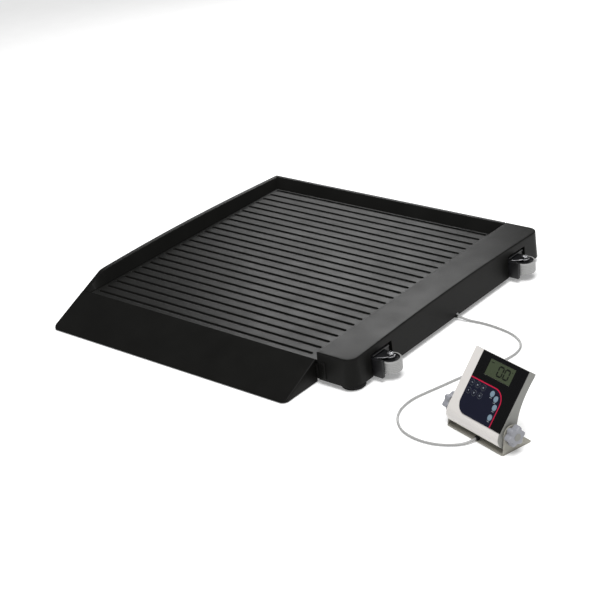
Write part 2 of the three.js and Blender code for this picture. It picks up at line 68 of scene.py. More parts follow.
RAMP_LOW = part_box("ramp")[0]
CORNER = np.array([RAMP_LOW.x, RAMP_LOW.y, 0.0])
JOINTS = {joint["name"]: joint for joint in frame["joints"]}
TILT = JOINTS["indicator_tilt"]
ACROSS = np.array(TILT["axis"], float)
BACK = np.array([-ACROSS[1], ACROSS[0], 0.0])
UP = np.array([0.0, 0.0, 1.0])
TILT_MM = (84.0, 26.0, 40.0)  # where the tilt axis crosses the middle of the indicator, in the stand's frame


def on_platform(x, y, z):
    """Points in millimetres from the ramp's front left corner, as row positions in metres."""
    x, y, z = np.broadcast_arrays(np.asarray(x, float), np.asarray(y, float), np.asarray(z, float))
    return CORNER + np.stack([x, y, z], axis=-1) / 1000


def on_stand(u, v, z):
    """Points in the stand's frame, in millimetres across, back and up, as row positions in metres."""
    u, v, z = np.broadcast_arrays(np.asarray(u, float), np.asarray(v, float), np.asarray(z, float))
    offsets = (u - TILT_MM[0], v - TILT_MM[1], z - TILT_MM[2])
    across, back, up = (offset[..., None] for offset in offsets)
    return np.array(TILT["pos_m"], float) + (across * ACROSS + back * BACK + up * UP) / 1000


# Mesh making --------------------------------------------------------------------------------------------

LYING, FACING_FRONT, FACING_SIDE = (0, 1, 2), (0, 2, 1), (2, 0, 1)  # where a plate's outline and height go
SHARP_DEGREES = 32
WELD = 2e-6


def piece(name, vertices, faces, body, material, replaces=()):
    """A closed mesh from vertex and face arrays: welded, faced outwards, shaded smooth but for sharp
    edges."""
    mesh = bpy.data.meshes.new(name)
    mesh.from_pydata(np.asarray(vertices).reshape(-1, 3).tolist(), [], faces)
    edit = bmesh.new()
    edit.from_mesh(mesh)
    bmesh.ops.remove_doubles(edit, verts=edit.verts, dist=WELD)
    bmesh.ops.dissolve_degenerate(edit, edges=edit.edges, dist=WELD)
    bmesh.ops.recalc_face_normals(edit, faces=edit.faces)
    edit.to_mesh(mesh)
    edit.free()
    mesh.shade_smooth()
    mesh.set_sharp_from_angle(angle=math.radians(SHARP_DEGREES))
    mesh.materials.append(material)
    obj = bpy.data.objects.new(name, mesh)
    bpy.context.scene.collection.objects.link(obj)
    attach(obj, body)
    if replaces:
        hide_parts(*replaces)
    return obj


def grid_faces(rows, columns, start=0, wrap=False):
    """Quads of a grid of rows by columns whose vertices are numbered row by row; wrap joins the last column
    to the first."""
    i = np.arange(rows - 1)[:, None]
    j = np.arange(columns if wrap else columns - 1)[None, :]
    k = (j + 1) % columns
    quads = np.stack(np.broadcast_arrays(i * columns + j, i * columns + k, (i + 1) * columns + k,
                                         (i + 1) * columns + j), -1)
    return (quads.reshape(-1, 4) + start).tolist()


def loft(name, rings, body, material, replaces=()):
    """Closed rings of points, [ring, point, xyz], skinned one to the next and capped at both ends."""
    rings = np.asarray(rings)
    count, around = rings.shape[:2]
    faces = grid_faces(count, around, wrap=True)
    faces.append(list(range(around)))
    faces.append(list(range((count - 1) * around, count * around)))
    return piece(name, rings, faces, body, material, replaces)


def slab(name, top, bottom, body, material, replaces=()):
    """Two grids of the same shape, joined round their edges into one closed block."""
    rows, columns = top.shape[:2]
    size = rows * columns
    faces = grid_faces(rows, columns) + grid_faces(rows, columns, size)
    numbers = np.arange(size).reshape(rows, columns)
    edge = np.concatenate([numbers[0, :-1], numbers[:-1, -1], numbers[-1, :0:-1], numbers[:0:-1, 0]])
    following = np.roll(edge, -1)
    faces += np.stack([edge, following, following + size, edge + size], -1).tolist()
    return piece(name, np.concatenate([top.reshape(-1, 3), bottom.reshape(-1, 3)]), faces, body,
                 material, replaces)


def rounded(points, radii, steps=6):
    """A polygon whose corners are replaced by arcs, each touching its two sides at the corner's radius."""
    points = np.asarray(points, float)
    radii = np.broadcast_to(radii, len(points))
    arcs = []
    for before, corner, after, radius in zip(np.roll(points, 1, 0), points, np.roll(points, -1, 0), radii):
        a = (before - corner) / np.linalg.norm(before - corner)
        b = (after - corner) / np.linalg.norm(after - corner)
        half = 0.5 * math.acos(float(np.clip(a @ b, -1, 1)))
        reach = radius / math.tan(half)
        middle = (a + b) / np.linalg.norm(a + b)
        centre = corner + middle * radius / math.sin(half)
        start, end = corner + a * reach - centre, corner + b * reach - centre
        first = math.atan2(start[1], start[0])
        turn = (math.atan2(end[1], end[0]) - first + math.pi) % (2 * math.pi) - math.pi
        angles = first + turn * np.linspace(0, 1, steps + 1)
        arcs.append(centre + radius * np.stack([np.cos(angles), np.sin(angles)], -1))
    return np.concatenate(arcs)


def outward(outline):
    """Unit normals of a closed outline, from each point's neighbours, pointing out of it."""
    tangent = np.roll(outline, -1, 0) - np.roll(outline, 1, 0)
    tangent /= np.maximum(np.linalg.norm(tangent, axis=1, keepdims=True), 1e-9)
    normal = np.stack([tangent[:, 1], -tangent[:, 0]], -1)
    area = np.sum(outline[:, 0] * np.roll(outline[:, 1], -1) - np.roll(outline[:, 0], -1) * outline[:, 1])
    return normal if area > 0 else -normal


def plate_rings(outline, low, high, edge, steps=4):
    """Rings [a, b, height] of a plate whose rim is rounded: the outline draws in along a quarter circle at
    each face."""
    bend = np.linspace(0, math.pi / 2, steps + 1)
    inset = np.concatenate([edge * (1 - np.sin(bend)), edge * (1 - np.cos(bend))])
    height = np.concatenate([low + edge * (1 - np.cos(bend)), high - edge * (1 - np.sin(bend))])
    flat = outline[None] - inset[:, None, None] * outward(outline)[None]
    return np.concatenate([flat, np.broadcast_to(height[:, None, None], flat.shape[:2] + (1,))], -1)


def plate(name, place, order, outline, low, high, edge, body, finish, replaces=()):
    """A rounded-rim plate: place turns its outline and height, taken in the given order, into positions."""
    rings = plate_rings(np.asarray(outline, float), low, high, edge)
    return loft(name, place(*(rings[..., i] for i in order)), body, MATERIALS[finish], replaces)


def turned(name, profile, centre, axis, body, material, replaces=(), around=64):
    """A profile of [radius, distance along the axis] in metres, turned about an axis through a centre."""
    profile = np.asarray(profile, float)
    axis = np.asarray(axis, float) / np.linalg.norm(axis)
    side = np.cross(axis, [0, 0, 1.0] if abs(axis[2]) < 0.9 else [1.0, 0, 0])
    side /= np.linalg.norm(side)
    other = np.cross(axis, side)
    angles = np.linspace(0, 2 * math.pi, around, endpoint=False)
    circle = np.cos(angles)[:, None] * side + np.sin(angles)[:, None] * other
    radii, heights = profile[:, 0, None, None], profile[:, 1, None, None]
    rings = np.asarray(centre, float) + radii * circle[None] + heights * axis
    if np.allclose(profile[0], profile[-1]):
        faces = grid_faces(len(profile), around, wrap=True)
        return piece(name, rings, faces, body, material, replaces)
    return loft(name, rings, body, material, replaces)


def swept(path, radius, around=16):
    """Rings of a round tube along a path: frames are carried along so that they don't twist."""
    path = np.asarray(path, float)
    tangent = np.gradient(path, axis=0)
    tangent /= np.linalg.norm(tangent, axis=1, keepdims=True)
    side = np.cross(tangent, UP)
    side /= np.linalg.norm(side, axis=1, keepdims=True)
    other = np.cross(side, tangent)
    angles = np.linspace(0, 2 * math.pi, around, endpoint=False)
    radius = np.broadcast_to(radius, len(path))[:, None, None]
    cosine, sine = np.cos(angles)[None, :, None], np.sin(angles)[None, :, None]
    return path[:, None] + radius * (cosine * side[:, None] + sine * other[:, None])


def smooth_curve(points, samples):
    """A Catmull-Rom curve through points, each span a cubic whose end slopes come from the neighbouring
    points."""
    points = np.asarray(points, float)
    padded = np.concatenate([2 * points[:1] - points[1:2], points, 2 * points[-1:] - points[-2:-1]])
    t = np.linspace(0, len(points) - 1, samples)
    i = np.minimum(t.astype(int), len(points) - 2)
    f = (t - i)[:, None]
    p0, p1, p2, p3 = padded[i], padded[i + 1], padded[i + 2], padded[i + 3]
    return 0.5 * (2 * p1 + (p2 - p0) * f + (2 * p0 - 5 * p1 + 4 * p2 - p3) * f**2
                  + (3 * p1 - p0 - 3 * p2 + p3) * f**3)


def smoothstep(low, high, value):
    """0 below low, 1 above high and a smooth S between them."""
    t = np.clip((value - low) / (high - low), 0, 1)
    return t * t * (3 - 2 * t)


# Materials ----------------------------------------------------------------------------------------------


def shader(name, colour, roughness, metallic=0.0, coat=0.0, specular=0.5):
    """A material whose constant values sit on the Principled shader's own sockets."""
    material = bpy.data.materials.new(name)
    material.use_nodes = True
    surface = material.node_tree.nodes["Principled BSDF"]
    surface.inputs["Base Color"].default_value = (*colour[:3], 1)
    surface.inputs["Roughness"].default_value = roughness
    surface.inputs["Metallic"].default_value = metallic
    surface.inputs["Coat Weight"].default_value = coat
    surface.inputs["Specular IOR Level"].default_value = specular
    return material, material.node_tree.nodes, material.node_tree.links, surface


def noise(nodes, links, scale, detail=3.0, stretch=None):
    """Noise over Object coordinates, in features per metre; stretch scales it along each axis."""
    place = nodes.new("ShaderNodeTexCoord")
    texture = nodes.new("ShaderNodeTexNoise")
    texture.inputs["Scale"].default_value = scale
    texture.inputs["Detail"].default_value = detail
    if stretch is None:
        links.new(place.outputs["Object"], texture.inputs["Vector"])
        return texture
    mapping = nodes.new("ShaderNodeMapping")
    mapping.inputs["Scale"].default_value = stretch
    links.new(place.outputs["Object"], mapping.inputs["Vector"])
    links.new(mapping.outputs["Vector"], texture.inputs["Vector"])
    return texture


def spread(nodes, links, texture, low, high):
    """Turns a texture's middle range into values from low to high."""
    span = nodes.new("ShaderNodeMapRange")
    span.inputs["From Min"].default_value = 0.3
    span.inputs["From Max"].default_value = 0.7
    span.inputs["To Min"].default_value = low
    span.inputs["To Max"].default_value = high
    links.new(texture.outputs["Fac"], span.inputs["Value"])
    return span.outputs["Result"]


def two_tone(nodes, links, factor, first, second):
    """Mixes two colours by a factor."""
    mix = nodes.new("ShaderNodeMix")
    mix.data_type = "RGBA"
    mix.inputs["A"].default_value = (*first[:3], 1)
    mix.inputs["B"].default_value = (*second[:3], 1)
    links.new(factor, mix.inputs["Factor"])
    return mix.outputs["Result"]


def bump(nodes, links, surface, height, strength, distance):
    """Raises the surface by a height texture over a distance in metres."""
    relief = nodes.new("ShaderNodeBump")
    relief.inputs["Strength"].default_value = strength
    relief.inputs["Distance"].default_value = distance
    links.new(height, relief.inputs["Height"])
    links.new(relief.outputs["Normal"], surface.inputs["Normal"])


def moulded(name, colour, roughness, grain=900.0, relief=0.25, wander=0.06, tone=0.12, specular=0.5,
            coat=0.0):
    """Moulded plastic: fine grain in relief, with slow changes of gloss and tone over the piece."""
    material, nodes, links, surface = shader(name, colour, roughness, coat=coat, specular=specular)
    fine = noise(nodes, links, grain, 2.0)
    slow = noise(nodes, links, 14.0, 4.0)
    links.new(spread(nodes, links, slow, roughness - wander, roughness + wander), surface.inputs["Roughness"])
    darker = [c * (1 - tone) for c in colour[:3]]
    lighter = [min(1.0, c * (1 + tone)) for c in colour[:3]]
    links.new(two_tone(nodes, links, spread(nodes, links, slow, 0.0, 1.0), darker, lighter),
              surface.inputs["Base Color"])
    bump(nodes, links, surface, fine.outputs["Fac"], relief, 0.0002)
    return material


def metal(name, colour, roughness, stretch=(1, 1, 1), scale=300.0):
    """Bare or plated metal with fine drawn streaks in its gloss."""
    material, nodes, links, surface = shader(name, colour, roughness, metallic=1.0)
    streaks = noise(nodes, links, scale, 3.0, stretch)
    links.new(spread(nodes, links, streaks, roughness - 0.1, roughness + 0.12), surface.inputs["Roughness"])
    bump(nodes, links, surface, streaks.outputs["Fac"], 0.12, 0.0001)
    return material


def ridged(name, colour, roughness, pitch, axis, relief, dark):
    """Plastic or rubber with parallel ridges across one axis, its colour darkened in the grooves as painted
    shade.
    """
    material, nodes, links, surface = shader(name, colour, roughness)
    place = nodes.new("ShaderNodeTexCoord")
    wave = nodes.new("ShaderNodeTexWave")
    wave.bands_direction = axis
    wave.inputs["Scale"].default_value = 0.3142 / pitch
    links.new(place.outputs["Object"], wave.inputs["Vector"])
    # painted shade: the colour in each groove is darkened by the given factor, where the ridges would shade
    # it
    shade = two_tone(nodes, links, wave.outputs["Fac"], [c * dark for c in colour[:3]], colour)
    links.new(shade, surface.inputs["Base Color"])
    bump(nodes, links, surface, wave.outputs["Fac"], relief, 0.0003)
    return material


def printed_panel(name, black, navy, crimson, origin, across, down, right, top, radius, line):
    """Gloss film, navy inside a rounded corner and black outside it, with a crimson line along the border.

    Signed distance from the border: with q the distances past the arc's centre to the right and upwards,
    it is the length of q's positive part, plus the larger of q's two values where that is negative, less
    the arc's radius."""
    material, nodes, links, surface = shader(name, black, 0.25, specular=0.25)
    place = nodes.new("ShaderNodeTexCoord")

    def reading(axis, centre, sign):
        """Distance in metres along an axis, past a line at a given distance from the film's corner."""
        dot = nodes.new("ShaderNodeVectorMath")
        dot.operation = "DOT_PRODUCT"
        dot.inputs[1].default_value = tuple(sign * axis)
        links.new(place.outputs["Object"], dot.inputs[0])
        return calculated("SUBTRACT", dot.outputs["Value"], sign * float(origin @ axis) + sign * centre)

    def calculated(operation, first, second=None):
        """One Math node, each input either a number or another node's output."""
        node = nodes.new("ShaderNodeMath")
        node.operation = operation
        for socket, value in zip(node.inputs, (first, second)):
            if isinstance(value, (int, float)):
                socket.default_value = value
            elif value is not None:
                links.new(value, socket)
        return node.outputs["Value"]

    q_right = reading(across, right - radius, 1)
    q_up = reading(down, top + radius, -1)
    square = calculated(
        "ADD",
        calculated("POWER", calculated("MAXIMUM", q_right, 0.0), 2.0),
        calculated("POWER", calculated("MAXIMUM", q_up, 0.0), 2.0),
    )
    inside = calculated("MINIMUM", calculated("MAXIMUM", q_right, q_up), 0.0)
    distance = calculated("SUBTRACT", calculated("ADD", calculated("SQRT", square), inside), radius)
    field = two_tone(nodes, links, calculated("LESS_THAN", distance, 0.0), black, navy)
    on_line = calculated("LESS_THAN", calculated("ABSOLUTE", distance), line / 2)
    mix = nodes.new("ShaderNodeMix")
    mix.data_type = "RGBA"
    links.new(on_line, mix.inputs["Factor"])
    links.new(field, mix.inputs["A"])
    mix.inputs["B"].default_value = (*crimson[:3], 1)
    links.new(mix.outputs["Result"], surface.inputs["Base Color"])
    texture = noise(nodes, links, 1500.0, 2.0)
    bump(nodes, links, surface, texture.outputs["Fac"], 0.08, 0.00005)
    return material


MATERIALS = {}


def make_materials(look):
    """All finishes of the scale, under the names that the pieces ask for."""
    black = look.platform_colour
    MATERIALS.update(
        platform=moulded("satin_black_moulding", black, 0.4, grain=1400.0, relief=0.2, wander=0.04,
                         specular=0.085),
        deck=moulded("satin_black_deck", black, 0.38, grain=1000.0, relief=0.28, wander=0.04, specular=0.1),
        rubber=moulded("black_foot_rubber", (0.008, 0.008, 0.008), 0.7, grain=600.0, relief=0.4,
                       specular=0.3),
        bracket=moulded("black_bracket_paint", (0.008, 0.008, 0.009), 0.38, grain=700.0, relief=0.15,
                        specular=0.3),
        strip=moulded("dark_grey_strip_paint", (0.035, 0.035, 0.036), 0.35, grain=700.0, relief=0.15,
                      specular=0.3),
        frame_paint=moulded("black_frame_powder_coat", (0.03, 0.03, 0.033), 0.5, grain=500.0, relief=0.5),
        zinc=metal("zinc_plated_steel", (0.5, 0.5, 0.52), 0.34),
        cell=metal("milled_load_cell", (0.7, 0.71, 0.73), 0.35, (1, 8, 1)),
        # the roller tread's grooves get painted shade, darkened to 0.8 of the tread colour
        tread=ridged("grey_roller_tread", look.roller_colour, 0.45, 0.0042, "Z", 0.35, 0.8),
        white=moulded("warm_white_shell", look.shell_colour, 0.38, grain=1500.0, relief=0.08, tone=0.015,
                      specular=0.3),
        grey=moulded("grey_back_shell", look.back_colour, 0.45, grain=1500.0, relief=0.2, tone=0.05,
                     specular=0.3),
        stand=moulded("warm_grey_stand_paint", look.stand_colour, 0.4, grain=900.0, relief=0.12, tone=0.06),
        knob=moulded("grey_knob_moulding", look.knob_colour, 0.42, grain=1200.0, relief=0.12, tone=0.04),
        display=moulded("olive_display", look.display_colour, 0.3, grain=2200.0, relief=0.03, tone=0.05,
                        specular=0.3),
        digit=moulded("display_segment_black", (0.006, 0.008, 0.005), 0.35, grain=2000.0, relief=0.02,
                      specular=0.2),
        key_dark=moulded("dark_round_key", (0.008, 0.01, 0.022), 0.3, grain=1500.0, relief=0.05,
                         specular=0.4),
        key_blue=moulded("pale_blue_key", look.key_colour, 0.3, grain=1500.0, relief=0.05, coat=0.2,
                         tone=0.04),
        key_mark=moulded("printed_key_mark", (0.3, 0.33, 0.36), 0.4, grain=1500.0, relief=0.03, specular=0.3),
        # painted highlight: the ring round each round key is a blue-grey mark lightened to stand for the
        # light caught by the key's rim
        key_ring=moulded("printed_key_ring", (0.055, 0.065, 0.085), 0.4, grain=1500.0, relief=0.03,
                         specular=0.3),
        cable=moulded("pale_cable_sheath", look.cable_colour, 0.32, grain=700.0, relief=0.06, tone=0.03),
        board=moulded("green_solder_mask", (0.01, 0.12, 0.045), 0.35, grain=400.0, relief=0.3),
        battery=moulded("black_battery_holder", (0.03, 0.03, 0.03), 0.5, grain=600.0, relief=0.2),
    )
    MATERIALS["panel"] = printed_panel(
        "printed_front_film", (0.0015, 0.0015, 0.002), look.keypad_colour, look.line_colour,
        on_face(0, 0, 0), ACROSS, -FACE_UP, 0.101, 0.0585, 0.028, 0.0024,
    )


# Platform -----------------------------------------------------------------------------------------------

TREAD_TOP_MM = (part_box("tread_plate")[1].z - CORNER[2]) * 1000
GROOVES, GROOVE_FIRST, GROOVE_PITCH = 24, 130.0, 29.3
GROOVE_HALF, GROOVE_DEEP, GROOVE_ENDS = 3.75, 3.0, (37.0, 720.0)
RAMP_REAR, RAMP_RIGHT, RAMP_EDGE = 112.0, 742.0, 5.0
RAMP_SLOPE = (TREAD_TOP_MM - RAMP_EDGE) / RAMP_REAR
DEPTH = 848.0
WIDTH = 850.0


def build_deck(groove_depth):
    """Deck height: the tread's top, less the groove depth where the distance to a groove's rounded outline is
    negative."""
    lines = np.array([-6.5, -4.6, -4.1, -3.75, -3.4, -2.9, -2.2, 0, 2.2, 2.9, 3.4, 3.75, 4.1, 4.6, 6.5,
                      14.65])
    centres = GROOVE_FIRST + GROOVE_PITCH * np.arange(GROOVES)
    y = np.unique(np.concatenate([[112.3, 112.7, 113.2, 114, 118], (centres[:, None] + lines).ravel(),
                                  [813.2, 813.7, 814.1]]))
    y = y[y < 814.2]
    near = np.concatenate([np.linspace(-1.5, 7, 14), [10.0, 14.0]])
    x = np.concatenate([[28.4, 28.8, 29.3, 30.5], GROOVE_ENDS[0] + near, np.linspace(70, 690, 12),
                        np.sort(GROOVE_ENDS[1] - near), [735, 745, 749.6, 750.2, 750.6]])
    x, y = np.meshgrid(x, y, indexing="ij")
    nearest = np.clip(np.round((y - GROOVE_FIRST) / GROOVE_PITCH), 0, GROOVES - 1)
    offset = y - (GROOVE_FIRST + GROOVE_PITCH * nearest)
    past = np.maximum(np.maximum(GROOVE_ENDS[0] + GROOVE_HALF - x, x - GROOVE_ENDS[1] + GROOVE_HALF), 0)
    distance = np.hypot(past, offset) - GROOVE_HALF
    border = np.minimum.reduce([x - 28.4, 750.6 - x, y - 112.3, 814.1 - y])
    groove = groove_depth * 1000 * smoothstep(0.7, -1.1, distance)
    top = TREAD_TOP_MM - groove - 0.8 * (1 - smoothstep(0, 0.9, border))
    bottom = np.full_like(top, TREAD_TOP_MM - 8.6)
    slab("deck_tread", on_platform(x, y, top), on_platform(x, y, bottom), "platform",
         MATERIALS["deck"], ["tread_plate"])


def rounding(distance, radius):
    """How far a quarter-round edge drops below a flat face, at a distance in from the edge."""
    short = np.clip(radius - distance, 0, radius)
    return radius - np.sqrt(radius**2 - short**2)


def build_ramp(corner_radius):
    """Ramp: an inclined plane over a plan with rounded front corners; underneath, pockets between ribs."""
    corner, edge, wall, pockets = corner_radius * 1000, 2.2, 5.0, 6
    pitch = (RAMP_RIGHT - wall) / pockets
    ribs = wall / 2 + pitch * np.arange(pockets + 1)
    close = np.concatenate([[0, 0.15, 0.5, 1.1, 1.9], np.linspace(3, corner, 6)])
    x = np.unique(np.concatenate([close, RAMP_RIGHT - close,
                                  (ribs[:, None] + [-2.8, -2.2, 2.2, 2.8]).ravel()]))
    x = x[(x >= 0) & (x <= RAMP_RIGHT)]
    t = np.concatenate([[0, 0.15, 0.5, 1.1, 1.9, 3], [10, 24, 29, 30, 60, 90, 106, 107, 110],
                        [111.2, 111.7]]) / 111.7
    x, t = np.meshgrid(x, t, indexing="ij")
    from_side = np.minimum(x, RAMP_RIGHT - x)
    front = rounding(from_side, corner)
    y = front + t * (111.7 - front)
    drop = rounding(np.minimum(from_side, y - front), edge)
    top = RAMP_EDGE + RAMP_SLOPE * y - drop * 0.9
    in_rib = np.min(np.abs(x[..., None] - ribs), -1)
    hollow = smoothstep(2.2, 2.8, in_rib) * smoothstep(24, 30, y) * smoothstep(107, 106, y)
    bottom = 2 + hollow * (RAMP_EDGE + RAMP_SLOPE * y - wall - 2)
    slab("ramp_wedge", on_platform(x, y, top), on_platform(x, y, bottom), "platform",
         MATERIALS["platform"], ["ramp"])


def build_left_rail():
    """Left rail: a rounded section carried to the rear; its height follows half a sine and, in front, the
    ramp's plane."""
    section = rounded([[0.2, 9], [27.8, 9], [27.8, 55.6], [13, 77.2], [2.2, 80]], [1, 0.8, 3, 3, 2.6])
    y = np.concatenate([[112.4, 113.2], np.linspace(116, 176, 31), np.linspace(186, DEPTH - 8, 44),
                        DEPTH - np.array([7, 5.5, 4, 2.8, 1.8, 1, 0.4, 0.0])])
    rise = 11.5 * np.sin(math.pi * y / DEPTH)
    share = np.clip((section[:, 1] - TREAD_TOP_MM) / (80 - TREAD_TOP_MM), 0, None)
    z = section[None, :, 1] + rise[:, None] * share[None]
    ceiling = RAMP_EDGE + RAMP_SLOPE * y[:, None] + 0.3
    excess = z - ceiling
    z = ceiling + np.where(excess > 1.5, 0, excess - np.clip(excess + 1.5, 0, 3) ** 2 / 6)
    end = rounding(DEPTH - y, 9.0)[:, None]
    x = np.broadcast_to(section[None, :, 0], z.shape) + end * (section[None, :, 0] < 3)
    z = z - end * 0.25 * (share[None] > 0.8)
    loft("left_side_rail", on_platform(x, y[:, None], z), "platform",
         MATERIALS["platform"], ["left_rail"])


def build_rear_rail():
    """Rear rail: the same kind of rounded section, carried straight across."""
    section = rounded([[DEPTH - 0.2, 9], [DEPTH - 2.2, 80], [DEPTH - 11, 79.2], [814.6, 55.6], [814.6, 9]],
                      [1, 2.6, 3, 2, 0.8])
    x = np.linspace(8.6, 750.7, 24)
    points = on_platform(x[:, None], section[None, :, 0], section[None, :, 1])
    loft("rear_cross_rail", points, "platform", MATERIALS["platform"], ["rear_rail"])


HOUSING = dict(left=751.0, front=106.0, rear=848.0, right=850.0, bottom=12.0, corner=79.0, arch=9.0)
ROLLER_X, ROLLER_Y = 871, (210.0, 742.0)
RECESS = dict(ahead=38.0, behind=34.0, deep=7.5, top=63.0)
CABLE_HOLE = dict(y=488.0, half=8.0, top=18.0)


def housing_outline(corner_radius):
    """Points of the housing's plan: straight sides sampled closely at the recesses, round corners outside."""
    left, front, rear, right = (HOUSING[key] for key in ("left", "front", "rear", "right"))
    radius = corner_radius * 1000
    bend = np.linspace(0, math.pi / 2, 15)
    steps = np.array([-3, -2, -1, -0.3, 0.3, 1, 2, 3])
    edges = np.concatenate([[y - RECESS["ahead"], y + RECESS["behind"]] for y in ROLLER_Y]
                           + [[CABLE_HOLE["y"] - CABLE_HOLE["half"], CABLE_HOLE["y"] + CABLE_HOLE["half"]]])
    wall_y = np.unique(np.concatenate([np.linspace(front + radius, rear - radius, 60)[1:-1],
                                       (edges[:, None] + steps).ravel()]))
    small = np.linspace(0, math.pi / 2, 5)
    front_left = np.stack([left + 2 - 2 * np.cos(small), front + 2 - 2 * np.sin(small)], -1)
    front_side = np.stack([np.linspace(left + 6, right - radius - 2, 10), np.full(10, front)], -1)
    front_right = np.stack([right - radius + radius * np.sin(bend),
                            front + radius - radius * np.cos(bend)], -1)
    outer = np.stack([np.full(len(wall_y), right), wall_y], -1)
    rear_right = np.stack([right - radius + radius * np.cos(bend), rear - radius + radius * np.sin(bend)], -1)
    rear_side = front_side[::-1] * [1, 0] + [0, rear]
    rear_left = np.stack([left + 2 - 2 * np.sin(small), rear - 2 + 2 * np.cos(small)], -1)
    inner_y = np.unique(np.concatenate([np.linspace(rear - 6, front + 6, 40),
                                        [front + 5, front + 7, rear - 5, rear - 7]]))[::-1]
    inner = np.stack([np.full(len(inner_y), left), inner_y], -1)
    return np.concatenate([front_left, front_side, front_right, outer, rear_right, rear_side, rear_left,
                           inner])


def housing_top(x, y):
    """Height of the housing's top: half a sine along it, full at the outer edge and slight at the inner
    one."""
    share = np.clip((x - HOUSING["left"]) / (HOUSING["right"] - HOUSING["left"]), 0, 1)
    length = np.clip((y - HOUSING["front"]) / (HOUSING["rear"] - HOUSING["front"]), 0, 1)
    return HOUSING["corner"] + HOUSING["arch"] * np.sin(math.pi * length) * (0.15 + 0.85 * share)


def build_housing(corner_radius):
    """Side housing: its plan rises as a wall with a recess at each roller, rounds over and closes on its
    middle line."""
    plan = housing_outline(corner_radius)
    normal = outward(plan)
    edge, draft = 2.4, 1.4
    wall = np.concatenate([[0, 0.25, 0.6, 1.2, 2.2, 4, 7, 10], np.arange(14, 48, 4),
                           [50, 51.5, 52.5, 53.2, 53.8, 54.4, 55.2, 56.5, 59, 62]]) / 65.5
    bend = np.linspace(0, math.pi / 2, 7)[1:]
    inner = plan[:, 0] < HOUSING["left"] + 0.5
    inside_run = inner & (plan[:, 1] > HOUSING["front"] + 5.5) & (plan[:, 1] < HOUSING["rear"] - 5.5)
    hole = (np.abs(plan[:, 1] - CABLE_HOLE["y"]) < CABLE_HOLE["half"]) & (plan[:, 0] > WIDTH - 1)
    foot = np.where(inside_run, 47.9, np.where(hole, CABLE_HOLE["top"], HOUSING["bottom"]))
    crest = housing_top(plan[:, 0], plan[:, 1])
    z_wall = foot[None] + wall[:, None] * (crest - edge - foot)[None]
    xy_wall = plan[None] - normal[None] * draft * ((z_wall - 9) / 70)[..., None]
    recessed = np.zeros_like(z_wall)
    for y in ROLLER_Y:
        along = smoothstep(-RECESS["ahead"] - 0.6, -RECESS["ahead"] + 0.6, plan[:, 1] - y)
        along = along * smoothstep(RECESS["behind"] + 0.6, RECESS["behind"] - 0.6, plan[:, 1] - y)
        below = smoothstep(RECESS["top"], RECESS["top"] - 2.5, z_wall)
        recessed += along[None] * (plan[:, 0] > WIDTH - 1)[None] * below
    xy_wall = xy_wall - normal[None] * RECESS["deep"] * recessed[..., None]
    draw = edge * (1 - np.cos(bend))
    xy_edge = (plan - normal * draft)[None] - normal[None] * draw[:, None, None]
    z_edge = (crest - edge)[None] + edge * np.sin(bend)[:, None]
    middle = np.stack([np.full(len(plan), 800.0),
                       np.clip(plan[:, 1], HOUSING["front"] + 49, HOUSING["rear"] - 49)], -1)
    share = np.linspace(0, 1, 9)[1:]
    xy_top = xy_edge[-1][None] + share[:, None, None] * (middle - xy_edge[-1])[None]
    z_top = housing_top(xy_top[..., 0], xy_top[..., 1])
    xy = np.concatenate([xy_wall, xy_edge, xy_top])
    z = np.concatenate([z_wall, z_edge, z_top])
    outer = on_platform(xy[..., 0], xy[..., 1], z)
    thick = 3.4
    reach = np.concatenate([np.full(len(z_wall), 1.0), np.cos(bend), np.zeros(len(share))])
    sink = np.concatenate([np.zeros(len(z_wall)), np.sin(bend), np.ones(len(share))])
    inner_xy = xy - normal[None] * thick * reach[:, None, None]
    shell_inside = on_platform(inner_xy[..., 0], inner_xy[..., 1], z - thick * sink[:, None])
    rows, columns = z.shape
    vertices = np.concatenate([outer.reshape(-1, 3), shell_inside.reshape(-1, 3)])
    faces = grid_faces(rows, columns, wrap=True) + grid_faces(rows, columns, rows * columns, wrap=True)
    rim = np.arange(columns)
    following = (rim + 1) % columns
    faces += np.stack([rim, following, following + rows * columns, rim + rows * columns], -1).tolist()
    piece("side_housing_shell", vertices, faces, "platform", MATERIALS["platform"],
          ["side_housing"])


def build_front_ribs():
    """A narrow web between the ramp's right end and the housing, and a rounded rib on the housing's front
    wall."""
    for name, left, right, low, high, front, rear in (("front_gap_web", 743.4, 750.2, 12, 46.3, 107.0, 111.6),
                                                      ("front_wall_rib", 765.0, 773.5, 16, 57, 104.2, 108.0)):
        outline = rounded([[left, low], [right, low], [right, high], [left, high]], 2.0)
        plate(name, on_platform, FACING_FRONT, outline, front, rear, 1.4, "platform",
              "platform")


def centre_of(node):
    """Middle of a CAD node's box, and half its size."""
    low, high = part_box(node)
    return np.array((low + high) / 2), np.array((high - low) / 2)


FOOT_PROFILE = np.array([
    [0, 0], [0.55, 0], [0.6, 0.06], [0.66, 0.06], [0.7, 0], [0.9, 0], [0.97, 0.06], [1, 0.2], [1, 0.42],
    [0.975, 0.47], [0.975, 0.53], [1, 0.58], [0.995, 0.8], [0.96, 0.93], [0.88, 1], [0, 1],
])
TREAD_PROFILE = np.array([
    [0.84, 0.04], [0.93, 0.02], [0.98, 0.07], [1, 0.14], [1, 0.28], [0.992, 0.3], [1, 0.32], [1, 0.48],
    [0.992, 0.5], [1, 0.52], [1, 0.68], [0.992, 0.7], [1, 0.72], [1, 0.86], [0.98, 0.93], [0.93, 0.98],
    [0.84, 0.96], [0.84, 0.04],
])
BORE = 4.5e-3


def build_feet():
    """Foot: a disc with a rolled lower edge and two rings moulded in its side, turned about the stud."""
    for end in ("front", "rear"):
        for side in ("left", "right"):
            node = f"foot_pad_{end}_{side}"
            centre, half = centre_of(node)
            radius, tall = half[0], 2 * half[2]
            turned(f"rubber_{node}", FOOT_PROFILE * [radius, tall], [centre[0], centre[1], 0], UP,
                   "platform", MATERIALS["rubber"], [node])


